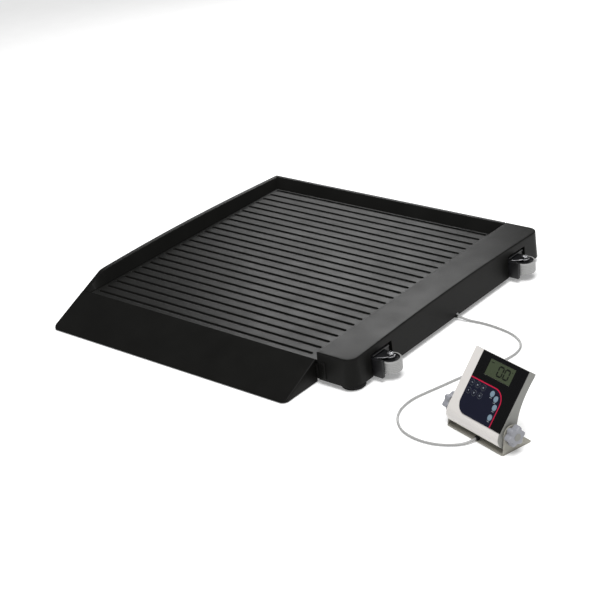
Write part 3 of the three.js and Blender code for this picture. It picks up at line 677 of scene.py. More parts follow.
def build_rollers():
    """Roller: a grey tread ring turned about its bolt round a dark dished hub, in a bracket of plates."""
    for end, y in zip(("front", "rear"), ROLLER_Y):
        body = f"roller_{end}"
        centre, half = centre_of(f"roller_wheel_{end}")
        base = [centre[0], centre[1], centre[2] - half[2]]
        radius, wide = half[0], 2 * half[2]
        turned(f"roller_tread_{end}", TREAD_PROFILE * [radius, wide], base, UP, body,
               MATERIALS["tread"], [f"roller_wheel_{end}"], 96)
        bore = BORE / radius
        hub = np.array([[bore, 0.0], [0.3, 0.0], [0.36, 0.1], [0.72, 0.1], [0.78, 0.03], [0.835, 0.03],
                        [0.835, 0.97], [0.78, 0.97], [0.72, 0.9], [0.36, 0.9], [0.3, 1.0], [bore, 1.0],
                        [bore, 0.0]])
        turned(f"roller_hub_{end}", hub * [radius, wide], base, UP, body,
               MATERIALS["bracket"], (), 96)
        build_bracket(end, y)


def build_bracket(end, y):
    """Bracket: a back plate, a tapered cheek ahead of the wheel and an arm above and below it, all with
    rounded rims."""
    back = rounded([[y - 35.8, 11.2], [y + 29.8, 11.2], [y + 29.8, 55.8], [y - 35.8, 55.8]], 4)
    plate(f"bracket_back_{end}", on_platform, FACING_SIDE, back, 843, 844.9, 0.5, "platform",
          "bracket", [f"roller_bracket_{end}"])
    cheek = rounded([[844, 11.2], [873.5, 11.2], [876.5, 53], [844, 53]], [1, 2, 2.5, 1])
    plate(f"bracket_cheek_{end}", on_platform, FACING_FRONT, cheek, y - 35.8, y - 27.6, 1.2, "platform",
          "bracket")
    turn = np.linspace(-math.pi / 2, math.pi / 2, 17)
    nose = np.stack([ROLLER_X + 10.8 * np.cos(turn), y + 10.8 * np.sin(turn)], -1)
    arm = np.concatenate([[[844.5, y - 28], [856, y - 24]], nose, [[850, y + 14], [844.5, y + 14]]])
    for label, low, high, inset, finish, slot in (
        ("edge", 49.6, 52.0, 0.0, "zinc", "plated_steel"),
        ("cover", 52.0, 52.9, 1.1, "bracket", "bracket_paint"),
        ("bottom", 11.2, 14.2, 0.0, "bracket", "bracket_paint"),
    ):
        plate(f"bracket_arm_{label}_{end}", on_platform, LYING, arm - inset * outward(arm), low, high, 0.4,
              "platform", finish)
    hood = rounded([[843.2, 56.2], [848.8, 56.2], [848.8, 58.6], [843.2, 58.6]], 0.7)
    plate(f"bracket_strip_{end}", on_platform, FACING_FRONT, hood, y - 30, y + 26, 0.6, "platform",
          "strip")
    angle = np.linspace(0, 2 * math.pi, 6, endpoint=False)
    hexagon = rounded(np.stack([ROLLER_X + 7.3 * np.cos(angle), y + 7.3 * np.sin(angle)], -1), 0.8)
    plate(f"bolt_head_{end}", on_platform, LYING, hexagon, 53.2, 58.2, 0.9, "platform",
          "zinc", [f"roller_bolt_{end}"])
    shank = np.array([[0, 9.5], [3.2, 9.5], [3.9, 10.4], [3.9, 53.1], [0, 53.1]]) / 1000
    turned(f"bolt_shank_{end}", shank, on_platform(ROLLER_X, y, 0), UP, "platform",
           MATERIALS["zinc"])


def build_handle(grip_diameter):
    """Carry handle: a round grip swept along a path that leaves the left wall, runs forward and returns to
    it."""
    low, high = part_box("carry_handle")
    wall, out = high.x - 0.0004, low.x + 0.0092
    front, rear = low.y + 0.009, high.y - 0.009
    z = (low.z + high.z) / 2
    bend = np.linspace(0, math.pi / 2, 9)
    radius = 0.014
    first = np.stack([out + radius - radius * np.sin(bend), front + radius - radius * np.cos(bend)], -1)
    last = np.stack([out + radius - radius * np.cos(bend), rear - radius + radius * np.sin(bend)], -1)
    flat = np.concatenate([[[wall, front]], first,
                           np.stack([np.full(8, out), np.linspace(front + 0.02, rear - 0.02, 8)], -1), last,
                           [[wall, rear]]])
    path = np.concatenate([flat, np.full((len(flat), 1), z)], -1)
    loft("carry_grip", swept(path, grip_diameter / 2, 24), "platform",
         MATERIALS["rubber"], ["carry_handle"])


# Cable --------------------------------------------------------------------------------------------------

CABLE_MM = [
    [851.3, 488, 9.5], [860, 488.4, 8.6], [870, 490, 6.3], [881, 492.3, 4], [893, 494.3, 3], [910, 495.5, 3],
    [936, 495, 3], [966, 491, 3], [994, 484.5, 3], [1018, 473.5, 3], [1037, 458, 3], [1049.5, 438, 3],
    [1054.5, 414, 3], [1052, 388, 3], [1044, 362, 3], [1031, 329, 3], [1017, 294, 3], [1004.5, 258, 3],
    [993, 221, 3], [982, 187, 3], [973, 156, 3], [970.5, 127, 3], [975, 99, 3], [987, 73, 3], [1006, 51, 3],
    [1029, 35, 3], [1055, 26.5, 3], [1082, 23.5, 3], [1108, 26, 3], [1131, 33.5, 3], [1150, 44, 3.2],
    [1163, 54.5, 4], [1171, 65.5, 5.2], [1174.3, 74, 5.9], [1175.5, 78.4, 6],
]


def build_cable(diameter):
    """Signal cable: a round tube swept along one smooth curve over the floor, from the boot to the stand's
    grommet."""
    route = smooth_curve(CABLE_MM, 360)
    path = on_platform(route[:, 0], route[:, 1], route[:, 2])
    rings = swept(path, diameter / 2, 20)
    cable = loft("signal_cable_sheath", rings, "platform", MATERIALS["cable"],
                 ["signal_cable"])
    low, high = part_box("gland_boot")
    long = high.x - low.x
    t = np.linspace(0, 1, 41)
    radius = (5 - 1.4 * t) / 1000 * (1 - 0.09 * (np.sin(t * 2 * math.pi * 5) > 0.3))
    profile = np.concatenate([[[0, 0]], np.stack([radius, t * long], -1), [[0, long]]])
    turned("tapered_boot", profile, [low.x, (low.y + high.y) / 2, (low.z + high.z) / 2], [1, 0, 0],
           "platform", MATERIALS["rubber"], ["gland_boot"])
    grommet = rounded([[-5.3, 2.9], [5.3, 2.9], [5.3, 6.5], [3.2, 10.2], [-3.2, 10.2], [-5.3, 6.5]], 1.2)
    rings = plate_rings(grommet, 1.0, 7.9, 0.8)
    loft("stand_grommet", on_stand(88.5 + rings[..., 0], rings[..., 2], rings[..., 1]), "platform",
         MATERIALS["rubber"], ["cable_grommet"])


# Indicator ----------------------------------------------------------------------------------------------

SLOPE = math.radians(50.4)
FACE_UP = math.cos(SLOPE) * BACK + math.sin(SLOPE) * UP
FACE_OUT = -math.sin(SLOPE) * BACK + math.cos(SLOPE) * UP
ROLL_CENTRE, ROLL_RADIUS = (20.5, 31.7), 24.0
FACE_LONG = 135.0
PANEL_LEFT, PANEL_TOP = 30.0, 134.0
BODY_LEFT, BODY_RIGHT = 5.0, 163.0


def face_line(s, h):
    """[v, z] at a distance s up the sloping face from where the roll ends, and h out from the face."""
    out = np.array([-math.sin(SLOPE), math.cos(SLOPE)])
    up = np.array([math.cos(SLOPE), math.sin(SLOPE)])
    foot = np.array(ROLL_CENTRE) + ROLL_RADIUS * out
    return foot + np.multiply.outer(s, up) + np.multiply.outer(h, out)


def on_face(a, b, h):
    """Points a across and b down from the film's top left corner and h above the face, in millimetres."""
    a, b, h = np.broadcast_arrays(np.asarray(a, float), np.asarray(b, float), np.asarray(h, float))
    corner = face_line(PANEL_TOP, 0.0)
    base = on_stand(PANEL_LEFT, corner[0], corner[1])
    return base + (a[..., None] * ACROSS - b[..., None] * FACE_UP + h[..., None] * FACE_OUT) / 1000


def arc(centre, radius, first, last, steps):
    """Points of a circle's arc between two angles in degrees."""
    angle = np.radians(np.linspace(first, last, steps))
    return np.stack([centre[0] + radius * np.cos(angle), centre[1] + radius * np.sin(angle)], -1)


def back_curve(inset, steps=28):
    """Hollow back: a quadratic curve from the roll's rear to the top, bent towards the face."""
    roll = arc(ROLL_CENTRE, ROLL_RADIUS - inset, 350, 350, 1)[0]
    top = face_line(FACE_LONG - 2 - inset, -19.5 + inset)
    bend = np.array([43.5 - inset, 80.0])
    t = np.linspace(0, 1, steps)[:, None]
    return (1 - t) ** 2 * roll + 2 * t * (1 - t) * bend + t**2 * top


def side_outline(inset=0.0, front=0.0):
    """Side view of the housing as one closed outline: face, roll, hollow back and top, drawn in by the
    insets."""
    roll = arc(ROLL_CENTRE, ROLL_RADIUS - front, 140.4, 262, 22)
    under = arc(ROLL_CENTRE, ROLL_RADIUS - inset, 272, 348, 14)
    top_front = face_line(FACE_LONG - 1.2 - inset, -front)[None]
    top_corner = face_line(FACE_LONG - inset, -front - 1.4)[None]
    face = face_line(np.linspace(FACE_LONG - 8, 6, 14), np.full(14, -front))
    back = back_curve(inset)
    back_top = face_line(FACE_LONG - 0.4 - inset, -18.2 + inset)[None]
    return np.concatenate([top_corner, top_front, face, roll, under, back[:-1], back_top])


def front_outline():
    """Side view of the front shell: the face and the roll, three millimetres thick."""
    face_outside = face_line(np.linspace(FACE_LONG - 0.6, 4, 18), np.zeros(18))
    roll_outside = arc(ROLL_CENTRE, ROLL_RADIUS, 140.4, 264, 30)
    roll_inside = arc(ROLL_CENTRE, ROLL_RADIUS - 3, 264, 140.4, 30)
    face_inside = face_line(np.linspace(4, FACE_LONG - 0.6, 18), np.full(18, -3.0))
    return np.concatenate([face_outside, roll_outside, roll_inside, face_inside])


def build_shells():
    """White front shell, and a grey back shell whose right cheek comes forward to the face."""
    plate("indicator_front", on_stand, FACING_SIDE, front_outline(), BODY_LEFT, BODY_RIGHT - 3.0, 1.2,
          "indicator", "white", ["front_shell"])
    plate("indicator_back", on_stand, FACING_SIDE, side_outline(0.2, 3.4), BODY_LEFT + 0.2,
          BODY_RIGHT - 3.2, 0.4, "indicator", "grey", ["rear_shell"])
    plate("indicator_right_cheek", on_stand, FACING_SIDE, side_outline(), BODY_RIGHT - 2.9, BODY_RIGHT, 1.1,
          "indicator", "grey")


def build_battery_door():
    """Battery door: a patch of the back's own curve, raised a little, with five finger ridges across it."""
    curve = back_curve(0.0, 400)
    curve = curve[(curve[:, 1] > 35) & (curve[:, 1] < 65)][::4]
    slope = np.gradient(curve, axis=0)
    slope /= np.linalg.norm(slope, axis=1, keepdims=True)
    normal = np.stack([slope[:, 1], -slope[:, 0]], -1)
    u = np.concatenate([[51, 51.4, 52, 53], np.linspace(56, 112, 30), [115, 116, 116.6, 117]])
    border_u = np.minimum(u - 51, 117 - u)
    border_z = np.minimum(np.arange(len(curve)),
                          np.arange(len(curve))[::-1]) * np.linalg.norm(curve[1] - curve[0])
    border = np.minimum(border_u[:, None], border_z[None])
    height = 0.25 + 0.75 * smoothstep(0, 1.2, border)
    ridges = 0.5 * np.maximum(np.sin((curve[:, 1] - 52) * math.pi / 1.5),
                              0) * (np.abs(curve[:, 1] - 57.2) < 5.3)
    height = height + ridges[None] * (np.abs(u - 84) < 14)[:, None] * (border > 1.2)
    outer = curve[None] + normal[None] * height[..., None]
    inner = curve[None] + normal[None] * np.full_like(height, 0.05)[..., None]
    slab("battery_cover", on_stand(u[:, None], outer[..., 0], outer[..., 1]),
         on_stand(u[:, None], inner[..., 0], inner[..., 1]),
         "indicator", MATERIALS["grey"], ["battery_door"])


def face_plate(name, outline, low, high, edge, body, finish, replaces=()):
    """A plate with a rounded rim on the sloping face, its outline in millimetres across and down."""
    return plate(name, on_face, LYING, outline, low, high, edge, body, finish, replaces)


ZERO_BARS = "abcdef"
DIGIT_ASPECT = 0.625


def segment(letter, left, top, wide, tall, thick):
    """One outer bar of a seven-segment digit, as a six-sided outline with pointed ends."""
    mid = top + tall / 2
    spans = {
        "a": ((left, top), (left + wide, top)), "d": ((left, top + tall), (left + wide, top + tall)),
        "f": ((left, top), (left, mid)), "e": ((left, mid), (left, top + tall)),
        "b": ((left + wide, top), (left + wide, mid)), "c": ((left + wide, mid), (left + wide, top + tall)),
    }
    start, end = (np.array(point, float) for point in spans[letter])
    run = (end - start) / np.linalg.norm(end - start)
    side = np.array([-run[1], run[0]]) * thick / 2
    start, end = start + run * 0.2, end - run * 0.2
    inner_start, inner_end = start + run * thick / 2, end - run * thick / 2
    return np.array([start, inner_start + side, inner_end + side, end, inner_end - side, inner_start - side])


def build_display(digit_height, stroke):
    """Display: a glossy olive face set below the film, with two digits of pointed bars, a point and two
    marks."""
    left, right, top, bottom = 28.2, 100.3, 9.5, 43.1
    field = rounded([[left, top], [right, top], [right, bottom], [left, bottom]], 1.0)
    face_plate("display_face", field, 0.35, 1.05, 0.15, "indicator", "display",
               ["display_window"])
    low, high, edge = 1.07, 1.13, 0.02
    for place, start in enumerate((58.5, 76.5)):
        for letter in ZERO_BARS:
            outline = segment(letter, start, 16.0, DIGIT_ASPECT * digit_height * 1000, digit_height * 1000,
                              stroke * 1000)
            face_plate(f"digit_{place + 1}_{letter}", outline, low, high, edge, "indicator",
                       "digit")
    turn = np.linspace(0, 2 * math.pi, 16, endpoint=False)
    point = np.stack([73.8 + 0.9 * np.cos(turn), 36.6 + 0.9 * np.sin(turn)], -1)
    face_plate("digit_point", point, low, high, edge, "indicator", "digit")
    for mark, (a, b, wide, tall) in enumerate(((32.5, 14.2, 8.5, 1.6), (93.6, 16.2, 2.6, 1.6)), 1):
        bar = rounded([[a, b], [a + wide, b], [a + wide, b + tall], [a, b + tall]], 0.3)
        face_plate(f"display_mark_{mark}", bar, low, high, edge, "indicator", "digit")


KEY_CENTRES = [(a, b) for b in (68.5, 86.0) for a in (10.0, 26.0, 43.0)]
FUNCTION_CENTRES = [(71.0, 71.0), (85.0, 77.5), (91.0, 93.5), (91.0, 114.5)]


def domed_key(name, node, a, b, half_a, half_b, material):
    """Key: an ellipse whose surface rises from its rim to a low dome, z = rim + dome times one less the
    radius squared."""
    angle = np.linspace(0, 2 * math.pi, 40, endpoint=False)
    share = np.array([1.0, 1.0, 0.97, 0.9, 0.78, 0.62, 0.45, 0.28, 0.1])
    height = np.array([0.9, 1.5, 1.66, 1.72, 1.78, 1.85, 1.91, 1.96, 1.99])
    x = a + share[:, None] * half_a * np.cos(angle)
    y = b + share[:, None] * half_b * np.sin(angle)
    return loft(name, on_face(x, y, height[:, None]), f"button_{node}", material, [node])


def key_marks(number):
    """Outlines of the plain sign on a round key: a bar, a cross, an arrow up or down, a square or two
    bars."""

    def bar(w, h, x=0.0, y=0.0):
        """A rectangle of half sizes w and h round a point, with softened corners."""
        return rounded([[x - w, y - h], [x + w, y - h], [x + w, y + h], [x - w, y + h]], 0.2)

    signs = {
        1: [bar(2, 0.4)], 2: [bar(2, 0.4), bar(0.4, 2)], 3: [np.array([[-1.8, 1.2], [0, -1.8], [1.8, 1.2]])],
        4: [bar(1, 1)], 5: [np.array([[-1.8, -1.2], [0, 1.8], [1.8, -1.2]])],
        6: [bar(1.8, 0.35, 0, -0.8), bar(1.8, 0.35, 0, 0.8)],
    }
    return signs[number]


def build_keys(key_diameter):
    """Six round dark keys, each with a plain sign and a blue-grey ring round it that is lightened as a
    painted highlight on its rim, and four pale blue function keys.
    """
    for number, (a, b) in enumerate(KEY_CENTRES, 1):
        node = f"key_{number}"
        domed_key(f"round_{node}", node, a, b, key_diameter * 500, key_diameter * 500,
                  MATERIALS["key_dark"])
        for mark, outline in enumerate(key_marks(number)):
            face_plate(f"{node}_sign_{mark + 1}", outline + [a, b], 1.9, 2.0, 0.03, f"button_{node}",
                       "key_mark")
        # a blue-grey ring round the key, its colour lightened as a painted highlight on the rim
        turn = np.linspace(0, 2 * math.pi, 49)
        rim = np.array([[0.0, -0.16], [0.24, 0.0], [0.0, 0.12], [-0.24, 0.0]])
        ring_a = a + (6.6 + rim[:, 0])[:, None] * np.cos(turn[:-1])
        ring_b = b + (6.6 + rim[:, 0])[:, None] * np.sin(turn[:-1])
        rings = on_face(ring_a, ring_b, (1.5 + rim[:, 1])[:, None]).transpose(1, 0, 2)
        faces = grid_faces(len(rings), 4, wrap=True)
        last = (len(rings) - 1) * 4
        faces += [[last + j, last + (j + 1) % 4, (j + 1) % 4, j] for j in range(4)]
        piece(f"{node}_painted_highlight_ring", rings, faces, "indicator", MATERIALS["key_ring"])
    for number, (a, b) in enumerate(FUNCTION_CENTRES, 1):
        node = f"function_key_{number}"
        domed_key(f"blue_{node}", node, a, b, 5.7, 6.3, MATERIALS["key_blue"])
        label = rounded([[a - 3, b + 7.9], [a + 3, b + 7.9], [a + 3, b + 8.9], [a - 3, b + 8.9]], 0.3)
        face_plate(f"{node}_label_bar", label, 1.5, 1.56, 0.02, "indicator", "key_mark")


KNOB_SEATS = {"left": -1.2, "right": 169.2}
CHEEK_OUTSIDE = 163.4


def build_knobs(lobes):
    """Clamp knob: a lobed outline, a circle plus a cosine round it, with a deeply rounded rim, a raised cap
    in its middle and a shank."""
    angle = np.linspace(0, 2 * math.pi, 120, endpoint=False)
    for side, sign in (("left", -1), ("right", 1)):
        body = f"knob_{side}"
        base = KNOB_SEATS[side]
        radius = 18.8 + 3.0 * np.cos(lobes * angle)
        depth = np.array([0, 0.3, 1.2, 2.6, 5, 12, 14, 15.4, 16.4, 16.9, 16.9])
        share = np.array([0.86, 0.93, 0.975, 0.995, 1, 1, 0.985, 0.94, 0.87, 0.78, 0.62])
        grown = 0.35 + 0.65 * share
        r = np.where(share[:, None] > 0.8, radius * share[:, None], 17.0 * grown[:, None])
        u = base + sign * depth[:, None]
        rings = on_stand(np.broadcast_to(u, r.shape), TILT_MM[1] + r * np.cos(angle),
                         TILT_MM[2] + r * np.sin(angle))
        loft(f"star_knob_{side}", rings, body, MATERIALS["knob"], [f"tilt_knob_{side}"])
        cap = np.array([[0, 16.6], [8, 16.6], [8, 17.4], [7.4, 17.9], [0, 18.0]]) / 1000
        turned(f"knob_cap_{side}", cap * [1, 0.995], on_stand(base, TILT_MM[1], TILT_MM[2]), sign * ACROSS,
               body, MATERIALS["grey"])
        reach = KNOB_SEATS["right"] - CHEEK_OUTSIDE
        shank = np.array([[0, -reach], [4.4, -reach], [4.4, 0.1], [0, 0.1]]) / 1000
        turned(f"knob_shank_{side}", shank, on_stand(base, TILT_MM[1], TILT_MM[2]), sign * ACROSS, body,
               MATERIALS["zinc"])


def build_stand():
    """Stand: a base plate with round corners, and two side plates that narrow up to a round eye at the tilt
    axis."""
    base = rounded([[0, 0], [168, 0], [168, 76], [0, 76]], 3.5)
    plate("stand_base_plate", on_stand, LYING, base, 0, 2.5, 0.7, "platform", "stand",
          ["stand_base"])
    eye = arc(TILT_MM[1:], 18.9, -8, 188, 40)
    side = np.concatenate([[[2.2, 2.8], [60, 2.8]], eye])
    for label, low, high in (("left", 0.05, 2.45), ("right", 165.55, 167.95)):
        plate(f"stand_cheek_{label}", on_stand, FACING_SIDE, side, low, high, 0.7, "platform",
              "stand", [f"stand_side_{label}"])


PAINTED_NODES = {
    "frame_left": "frame_paint", "frame_right": "frame_paint", "frame_front": "frame_paint",
    "frame_middle": "frame_paint", "frame_rear": "frame_paint",
    "junction_box": "grey", "junction_lid": "grey", "cable_gland": "zinc",
    "overlay_panel": "panel", "display_module": "display", "circuit_board": "board",
    "battery_pack": "battery", "tilt_washer_left": "rubber", "tilt_washer_right": "rubber",
    **{f"load_cell_{end}_{side}": "cell" for end in ("front", "rear") for side in ("left", "right")},
    **{f"foot_stud_{end}_{side}": "zinc" for end in ("front", "rear") for side in ("left", "right")},
}


def paint_frame_nodes():
    """Gives every CAD node that stays visible its finish."""
    for node, finish in PAINTED_NODES.items():
        obj = frame["nodes"][node]
        obj.data.materials.clear()
        obj.data.materials.append(MATERIALS[finish])


# Stage --------------------------------------------------------------------------------------------------

VIEW = dict(azimuth=43.05, elevation=26.51, roll=-7.44, aside=0.0038, above=-0.0428, distance=3.710,
            lens=89.13)
AIM_MM = (425.0, 450.0, 0.0)


def build_camera():
    """Camera: placed on a sphere round the platform, looking down at its middle and rolled a little."""
    azimuth, elevation, roll = (math.radians(VIEW[key]) for key in ("azimuth", "elevation", "roll"))
    back = Vector((math.sin(azimuth) * math.cos(elevation), -math.cos(azimuth) * math.cos(elevation),
                   math.sin(elevation)))
    right = Vector((math.cos(azimuth), math.sin(azimuth), 0))
    up = back.cross(right)
    turned_right = right * math.cos(roll) + up * math.sin(roll)
    turned_up = up * math.cos(roll) - right * math.sin(roll)
    data = bpy.data.cameras.new("view")
    data.lens = VIEW["lens"]
    data.sensor_width = 36
    data.clip_end = 50
    camera = bpy.data.objects.new("view", data)
    place = Vector(on_platform(*AIM_MM)) + turned_right * VIEW["aside"]
    place += turned_up * VIEW["above"]
    place += back * VIEW["distance"]
    rows = [[turned_right[i], turned_up[i], back[i], place[i]] for i in range(3)]
    camera.matrix_world = Matrix(rows + [[0, 0, 0, 1]])
    bpy.context.scene.collection.objects.link(camera)
    bpy.context.scene.camera = camera


def softbox(name, place, aim, size, power):
    """A square area light that faces a point."""
    data = bpy.data.lights.new(name, "AREA")
    data.size = size
    data.energy = power
    light = bpy.data.objects.new(name, data)
    light.location = place
    light.rotation_euler = (Vector(aim) - Vector(place)).to_track_quat("-Z", "Y").to_euler()
    bpy.context.scene.collection.objects.link(light)


FLOOR_GLOW = 0.25  # keeps the floor white under the soft light


def build_floor():
    """A wide pale floor, flat and faintly mottled."""
    span = np.linspace(-14, 14, 15)
    x, y = np.meshgrid(span, span, indexing="ij")
    vertices = np.stack([x, y, np.full_like(x, -0.0002)], -1).reshape(-1, 3)
    mesh = bpy.data.meshes.new("floor")
    mesh.from_pydata(vertices.tolist(), [], grid_faces(15, 15))
    mesh.flip_normals()
    paint = moulded("pale_floor", (0.9, 0.9, 0.9), 0.85, grain=60.0, relief=0.02, tone=0.01, specular=0.2)
    surface = paint.node_tree.nodes["Principled BSDF"]
    surface.inputs["Emission Color"].default_value = (1, 1, 1, 1)
    surface.inputs["Emission Strength"].default_value = FLOOR_GLOW
    mesh.materials.append(paint)
    floor = bpy.data.objects.new("floor", mesh)
    bpy.context.scene.collection.objects.link(floor)


# Add-on -------------------------------------------------------------------------------------------------


class ScaleLook(bpy.types.PropertyGroup):
    """Sizes, colours and light levels that a user would change."""

    groove_depth: FloatProperty(name="Groove depth", description="How deep the deck's grooves are",
                                unit="LENGTH", default=GROOVE_DEEP / 1000, min=0.0)
    ramp_corner: FloatProperty(name="Ramp corner", description="Radius of the ramp's front corners in plan",
                               unit="LENGTH", default=0.015, min=0.004)
    housing_corner: FloatProperty(name="Housing corner",
                                  description="Radius of the side housing's outer corners in plan",
                                  unit="LENGTH", default=0.028, min=0.01)
    cable_diameter: FloatProperty(name="Cable diameter", description="Diameter of the cable's sheath",
                                  unit="LENGTH", default=0.0055, min=0.002)
    grip_diameter: FloatProperty(name="Grip diameter", description="Diameter of the carry handle's grip",
                                 unit="LENGTH", default=0.0176, min=0.008)
    digit_height: FloatProperty(name="Digit height", description="Height of the display's digits",
                                unit="LENGTH", default=0.02, min=0.005)
    digit_stroke: FloatProperty(name="Digit stroke", description="Width of a bar of a digit", unit="LENGTH",
                                default=0.0034, min=0.0005)
    key_diameter: FloatProperty(name="Key diameter", description="Diameter of the round keys", unit="LENGTH",
                                default=0.0114, min=0.004)
    knob_lobes: IntProperty(name="Knob lobes", description="Number of lobes round a clamp knob", default=6,
                            min=3, max=12)
    platform_colour: FloatVectorProperty(name="Platform", description="Moulded platform colour",
                                         subtype="COLOR", default=(0.0055, 0.0055, 0.005))
    roller_colour: FloatVectorProperty(name="Roller", description="Roller tread colour", subtype="COLOR",
                                       default=(0.36, 0.36, 0.355))
    shell_colour: FloatVectorProperty(name="Front shell", description="Indicator front shell",
                                      subtype="COLOR", default=(0.66, 0.635, 0.61))
    back_colour: FloatVectorProperty(name="Back shell", description="Indicator back shell", subtype="COLOR",
                                     default=(0.23, 0.23, 0.215))
    stand_colour: FloatVectorProperty(name="Stand", description="Indicator stand", subtype="COLOR",
                                      default=(0.3, 0.29, 0.25))
    knob_colour: FloatVectorProperty(name="Knobs", description="Clamp knobs", subtype="COLOR",
                                     default=(0.25, 0.255, 0.28))
    display_colour: FloatVectorProperty(name="Display", description="Unlit display", subtype="COLOR",
                                        default=(0.045, 0.058, 0.032))
    keypad_colour: FloatVectorProperty(name="Keypad", description="Keypad field", subtype="COLOR",
                                       default=(0.006, 0.007, 0.018))
    line_colour: FloatVectorProperty(name="Line", description="Line round the keypad", subtype="COLOR",
                                     default=(0.45, 0.01, 0.045))
    key_colour: FloatVectorProperty(name="Function keys", description="Function keys", subtype="COLOR",
                                    default=(0.17, 0.24, 0.3))
    cable_colour: FloatVectorProperty(name="Cable", description="Cable sheath", subtype="COLOR",
                                      default=(0.33, 0.33, 0.325))
    key_light: FloatProperty(name="Main light", description="Power of the main softbox", unit="POWER",
                             default=300.0, min=0.0)
    sheen_light: FloatProperty(name="Sheen light", description="Power of the low softbox behind the deck",
                               unit="POWER", default=25.0, min=0.0)
    sky: FloatProperty(name="Surround", description="Strength of the even light all round", default=0.25,
                       min=0.0)


class SCALE_OT_materials(bpy.types.Operator):
    """Make every finish of the scale"""

    bl_idname = "scale.materials"
    bl_label = "Finishes"

    def execute(self, context):
        make_materials(context.scene.scale_look)
        return {"FINISHED"}


class SCALE_OT_stage(bpy.types.Operator):
    """Set the camera, the pale floor and the soft light"""

    bl_idname = "scale.stage"
    bl_label = "Stage"

    def execute(self, context):
        look = context.scene.scale_look
        build_camera()
        build_floor()
        softbox("main_softbox", (1.3, -1.0, 5.0), (0, 0, 0), 3.6, look.key_light)
        softbox("sheen_softbox", (-1.5, 1.75, 1.45), (0.1, -0.1, 0), 1.0, look.sheen_light)
        world = bpy.data.worlds.new("surround")
        world.use_nodes = True
        sky = world.node_tree.nodes["Background"]
        sky.inputs["Color"].default_value = (1, 1, 1, 1)
        sky.inputs["Strength"].default_value = look.sky
        context.scene.world = world
        context.scene.view_settings.view_transform = "Standard"
        return {"FINISHED"}


class SCALE_OT_cable(bpy.types.Operator):
    """Build the signal cable with its boot and grommet"""

    bl_idname = "scale.cable"
    bl_label = "Signal cable"

    def execute(self, context):
        build_cable(context.scene.scale_look.cable_diameter)
        return {"FINISHED"}


class SCALE_OT_deck(bpy.types.Operator):
    """Build the grooved deck"""

    bl_idname = "scale.deck"
    bl_label = "Deck"

    def execute(self, context):
        build_deck(context.scene.scale_look.groove_depth)
        return {"FINISHED"}


class SCALE_OT_ramp(bpy.types.Operator):
    """Build the ramp and the web beside it"""

    bl_idname = "scale.ramp"
    bl_label = "Ramp"

    def execute(self, context):
        build_ramp(context.scene.scale_look.ramp_corner)
        build_front_ribs()
        return {"FINISHED"}


class SCALE_OT_rails(bpy.types.Operator):
    """Build the left and rear rails"""

    bl_idname = "scale.rails"
    bl_label = "Rails"

    def execute(self, context):
        build_left_rail()
        build_rear_rail()
        return {"FINISHED"}


class SCALE_OT_housing(bpy.types.Operator):
    """Build the side housing"""

    bl_idname = "scale.housing"
    bl_label = "Side housing"

    def execute(self, context):
        build_housing(context.scene.scale_look.housing_corner)
        return {"FINISHED"}


class SCALE_OT_feet(bpy.types.Operator):
    """Build the rubber feet"""

    bl_idname = "scale.feet"
    bl_label = "Feet"

    def execute(self, context):
        build_feet()
        return {"FINISHED"}


class SCALE_OT_rollers(bpy.types.Operator):
    """Build the transport rollers and their brackets"""

    bl_idname = "scale.rollers"
    bl_label = "Rollers"

    def execute(self, context):
        build_rollers()
        return {"FINISHED"}


class SCALE_OT_handle(bpy.types.Operator):
    """Build the carry handle"""

    bl_idname = "scale.handle"
    bl_label = "Handle"

    def execute(self, context):
        build_handle(context.scene.scale_look.grip_diameter)
        return {"FINISHED"}


class SCALE_OT_shells(bpy.types.Operator):
    """Build the indicator's shells and battery cover"""

    bl_idname = "scale.shells"
    bl_label = "Indicator shells"

    def execute(self, context):
        build_shells()
        build_battery_door()
        return {"FINISHED"}


class SCALE_OT_display(bpy.types.Operator):
    """Build the display"""

    bl_idname = "scale.display"
    bl_label = "Display"

    def execute(self, context):
        look = context.scene.scale_look
        build_display(look.digit_height, look.digit_stroke)
        return {"FINISHED"}


class SCALE_OT_keys(bpy.types.Operator):
    """Build the keys"""

    bl_idname = "scale.keys"
    bl_label = "Keys"

    def execute(self, context):
        build_keys(context.scene.scale_look.key_diameter)
        return {"FINISHED"}


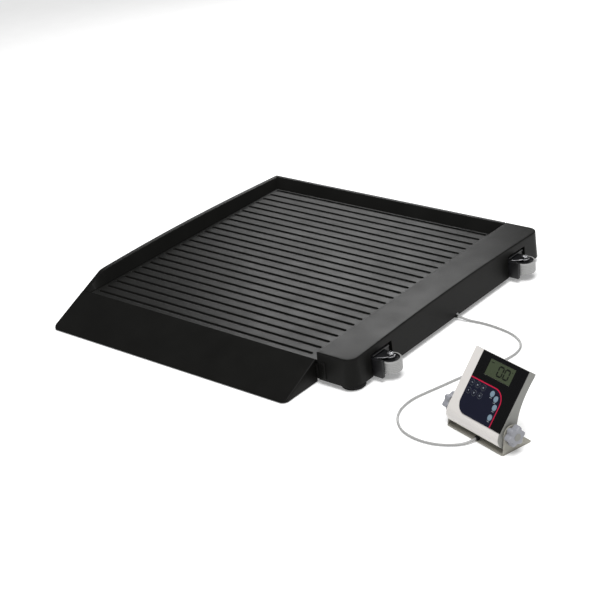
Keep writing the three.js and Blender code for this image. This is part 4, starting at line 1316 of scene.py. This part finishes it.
class SCALE_OT_knobs(bpy.types.Operator):
    """Build the clamp knobs"""

    bl_idname = "scale.knobs"
    bl_label = "Clamp knobs"

    def execute(self, context):
        build_knobs(context.scene.scale_look.knob_lobes)
        return {"FINISHED"}


class SCALE_OT_stand(bpy.types.Operator):
    """Build the indicator's stand"""

    bl_idname = "scale.stand"
    bl_label = "Indicator stand"

    def execute(self, context):
        build_stand()
        return {"FINISHED"}


class SCALE_OT_frame_finish(bpy.types.Operator):
    """Paint the frame, load cells and inner parts"""

    bl_idname = "scale.frame_finish"
    bl_label = "Frame finishes"

    def execute(self, context):
        paint_frame_nodes()
        return {"FINISHED"}


OPERATORS = (
    SCALE_OT_materials,
    SCALE_OT_stage,
    SCALE_OT_cable,
    SCALE_OT_deck,
    SCALE_OT_ramp,
    SCALE_OT_rails,
    SCALE_OT_housing,
    SCALE_OT_feet,
    SCALE_OT_rollers,
    SCALE_OT_handle,
    SCALE_OT_shells,
    SCALE_OT_display,
    SCALE_OT_keys,
    SCALE_OT_knobs,
    SCALE_OT_stand,
    SCALE_OT_frame_finish,
)


class SCALE_PT_pieces(bpy.types.Panel):
    """Lists the scale's pieces and its look"""

    bl_label = "Animal Platform Scale"
    bl_idname = "SCALE_PT_pieces"
    bl_space_type = "VIEW_3D"
    bl_region_type = "UI"
    bl_category = "Scale"

    def draw(self, context):
        look = context.scene.scale_look
        for setting in look.bl_rna.properties:
            if not setting.is_readonly and setting.identifier != "name":
                self.layout.prop(look, setting.identifier)
        for operator in OPERATORS:
            self.layout.operator(operator.bl_idname)


CLASSES = (ScaleLook, *OPERATORS, SCALE_PT_pieces)


def register():
    """Register the classes and hang the look on the scene."""
    for cls in CLASSES:
        bpy.utils.register_class(cls)
    bpy.types.Scene.scale_look = PointerProperty(type=ScaleLook)


def unregister():
    """Take the classes away again, last first."""
    del bpy.types.Scene.scale_look
    for cls in reversed(CLASSES):
        bpy.utils.unregister_class(cls)


def main():
    """Build everything in order."""
    register()
    for operator in OPERATORS:
        getattr(bpy.ops.scale, operator.bl_idname.split(".")[1])()


if __name__ == "__main__":
    main()
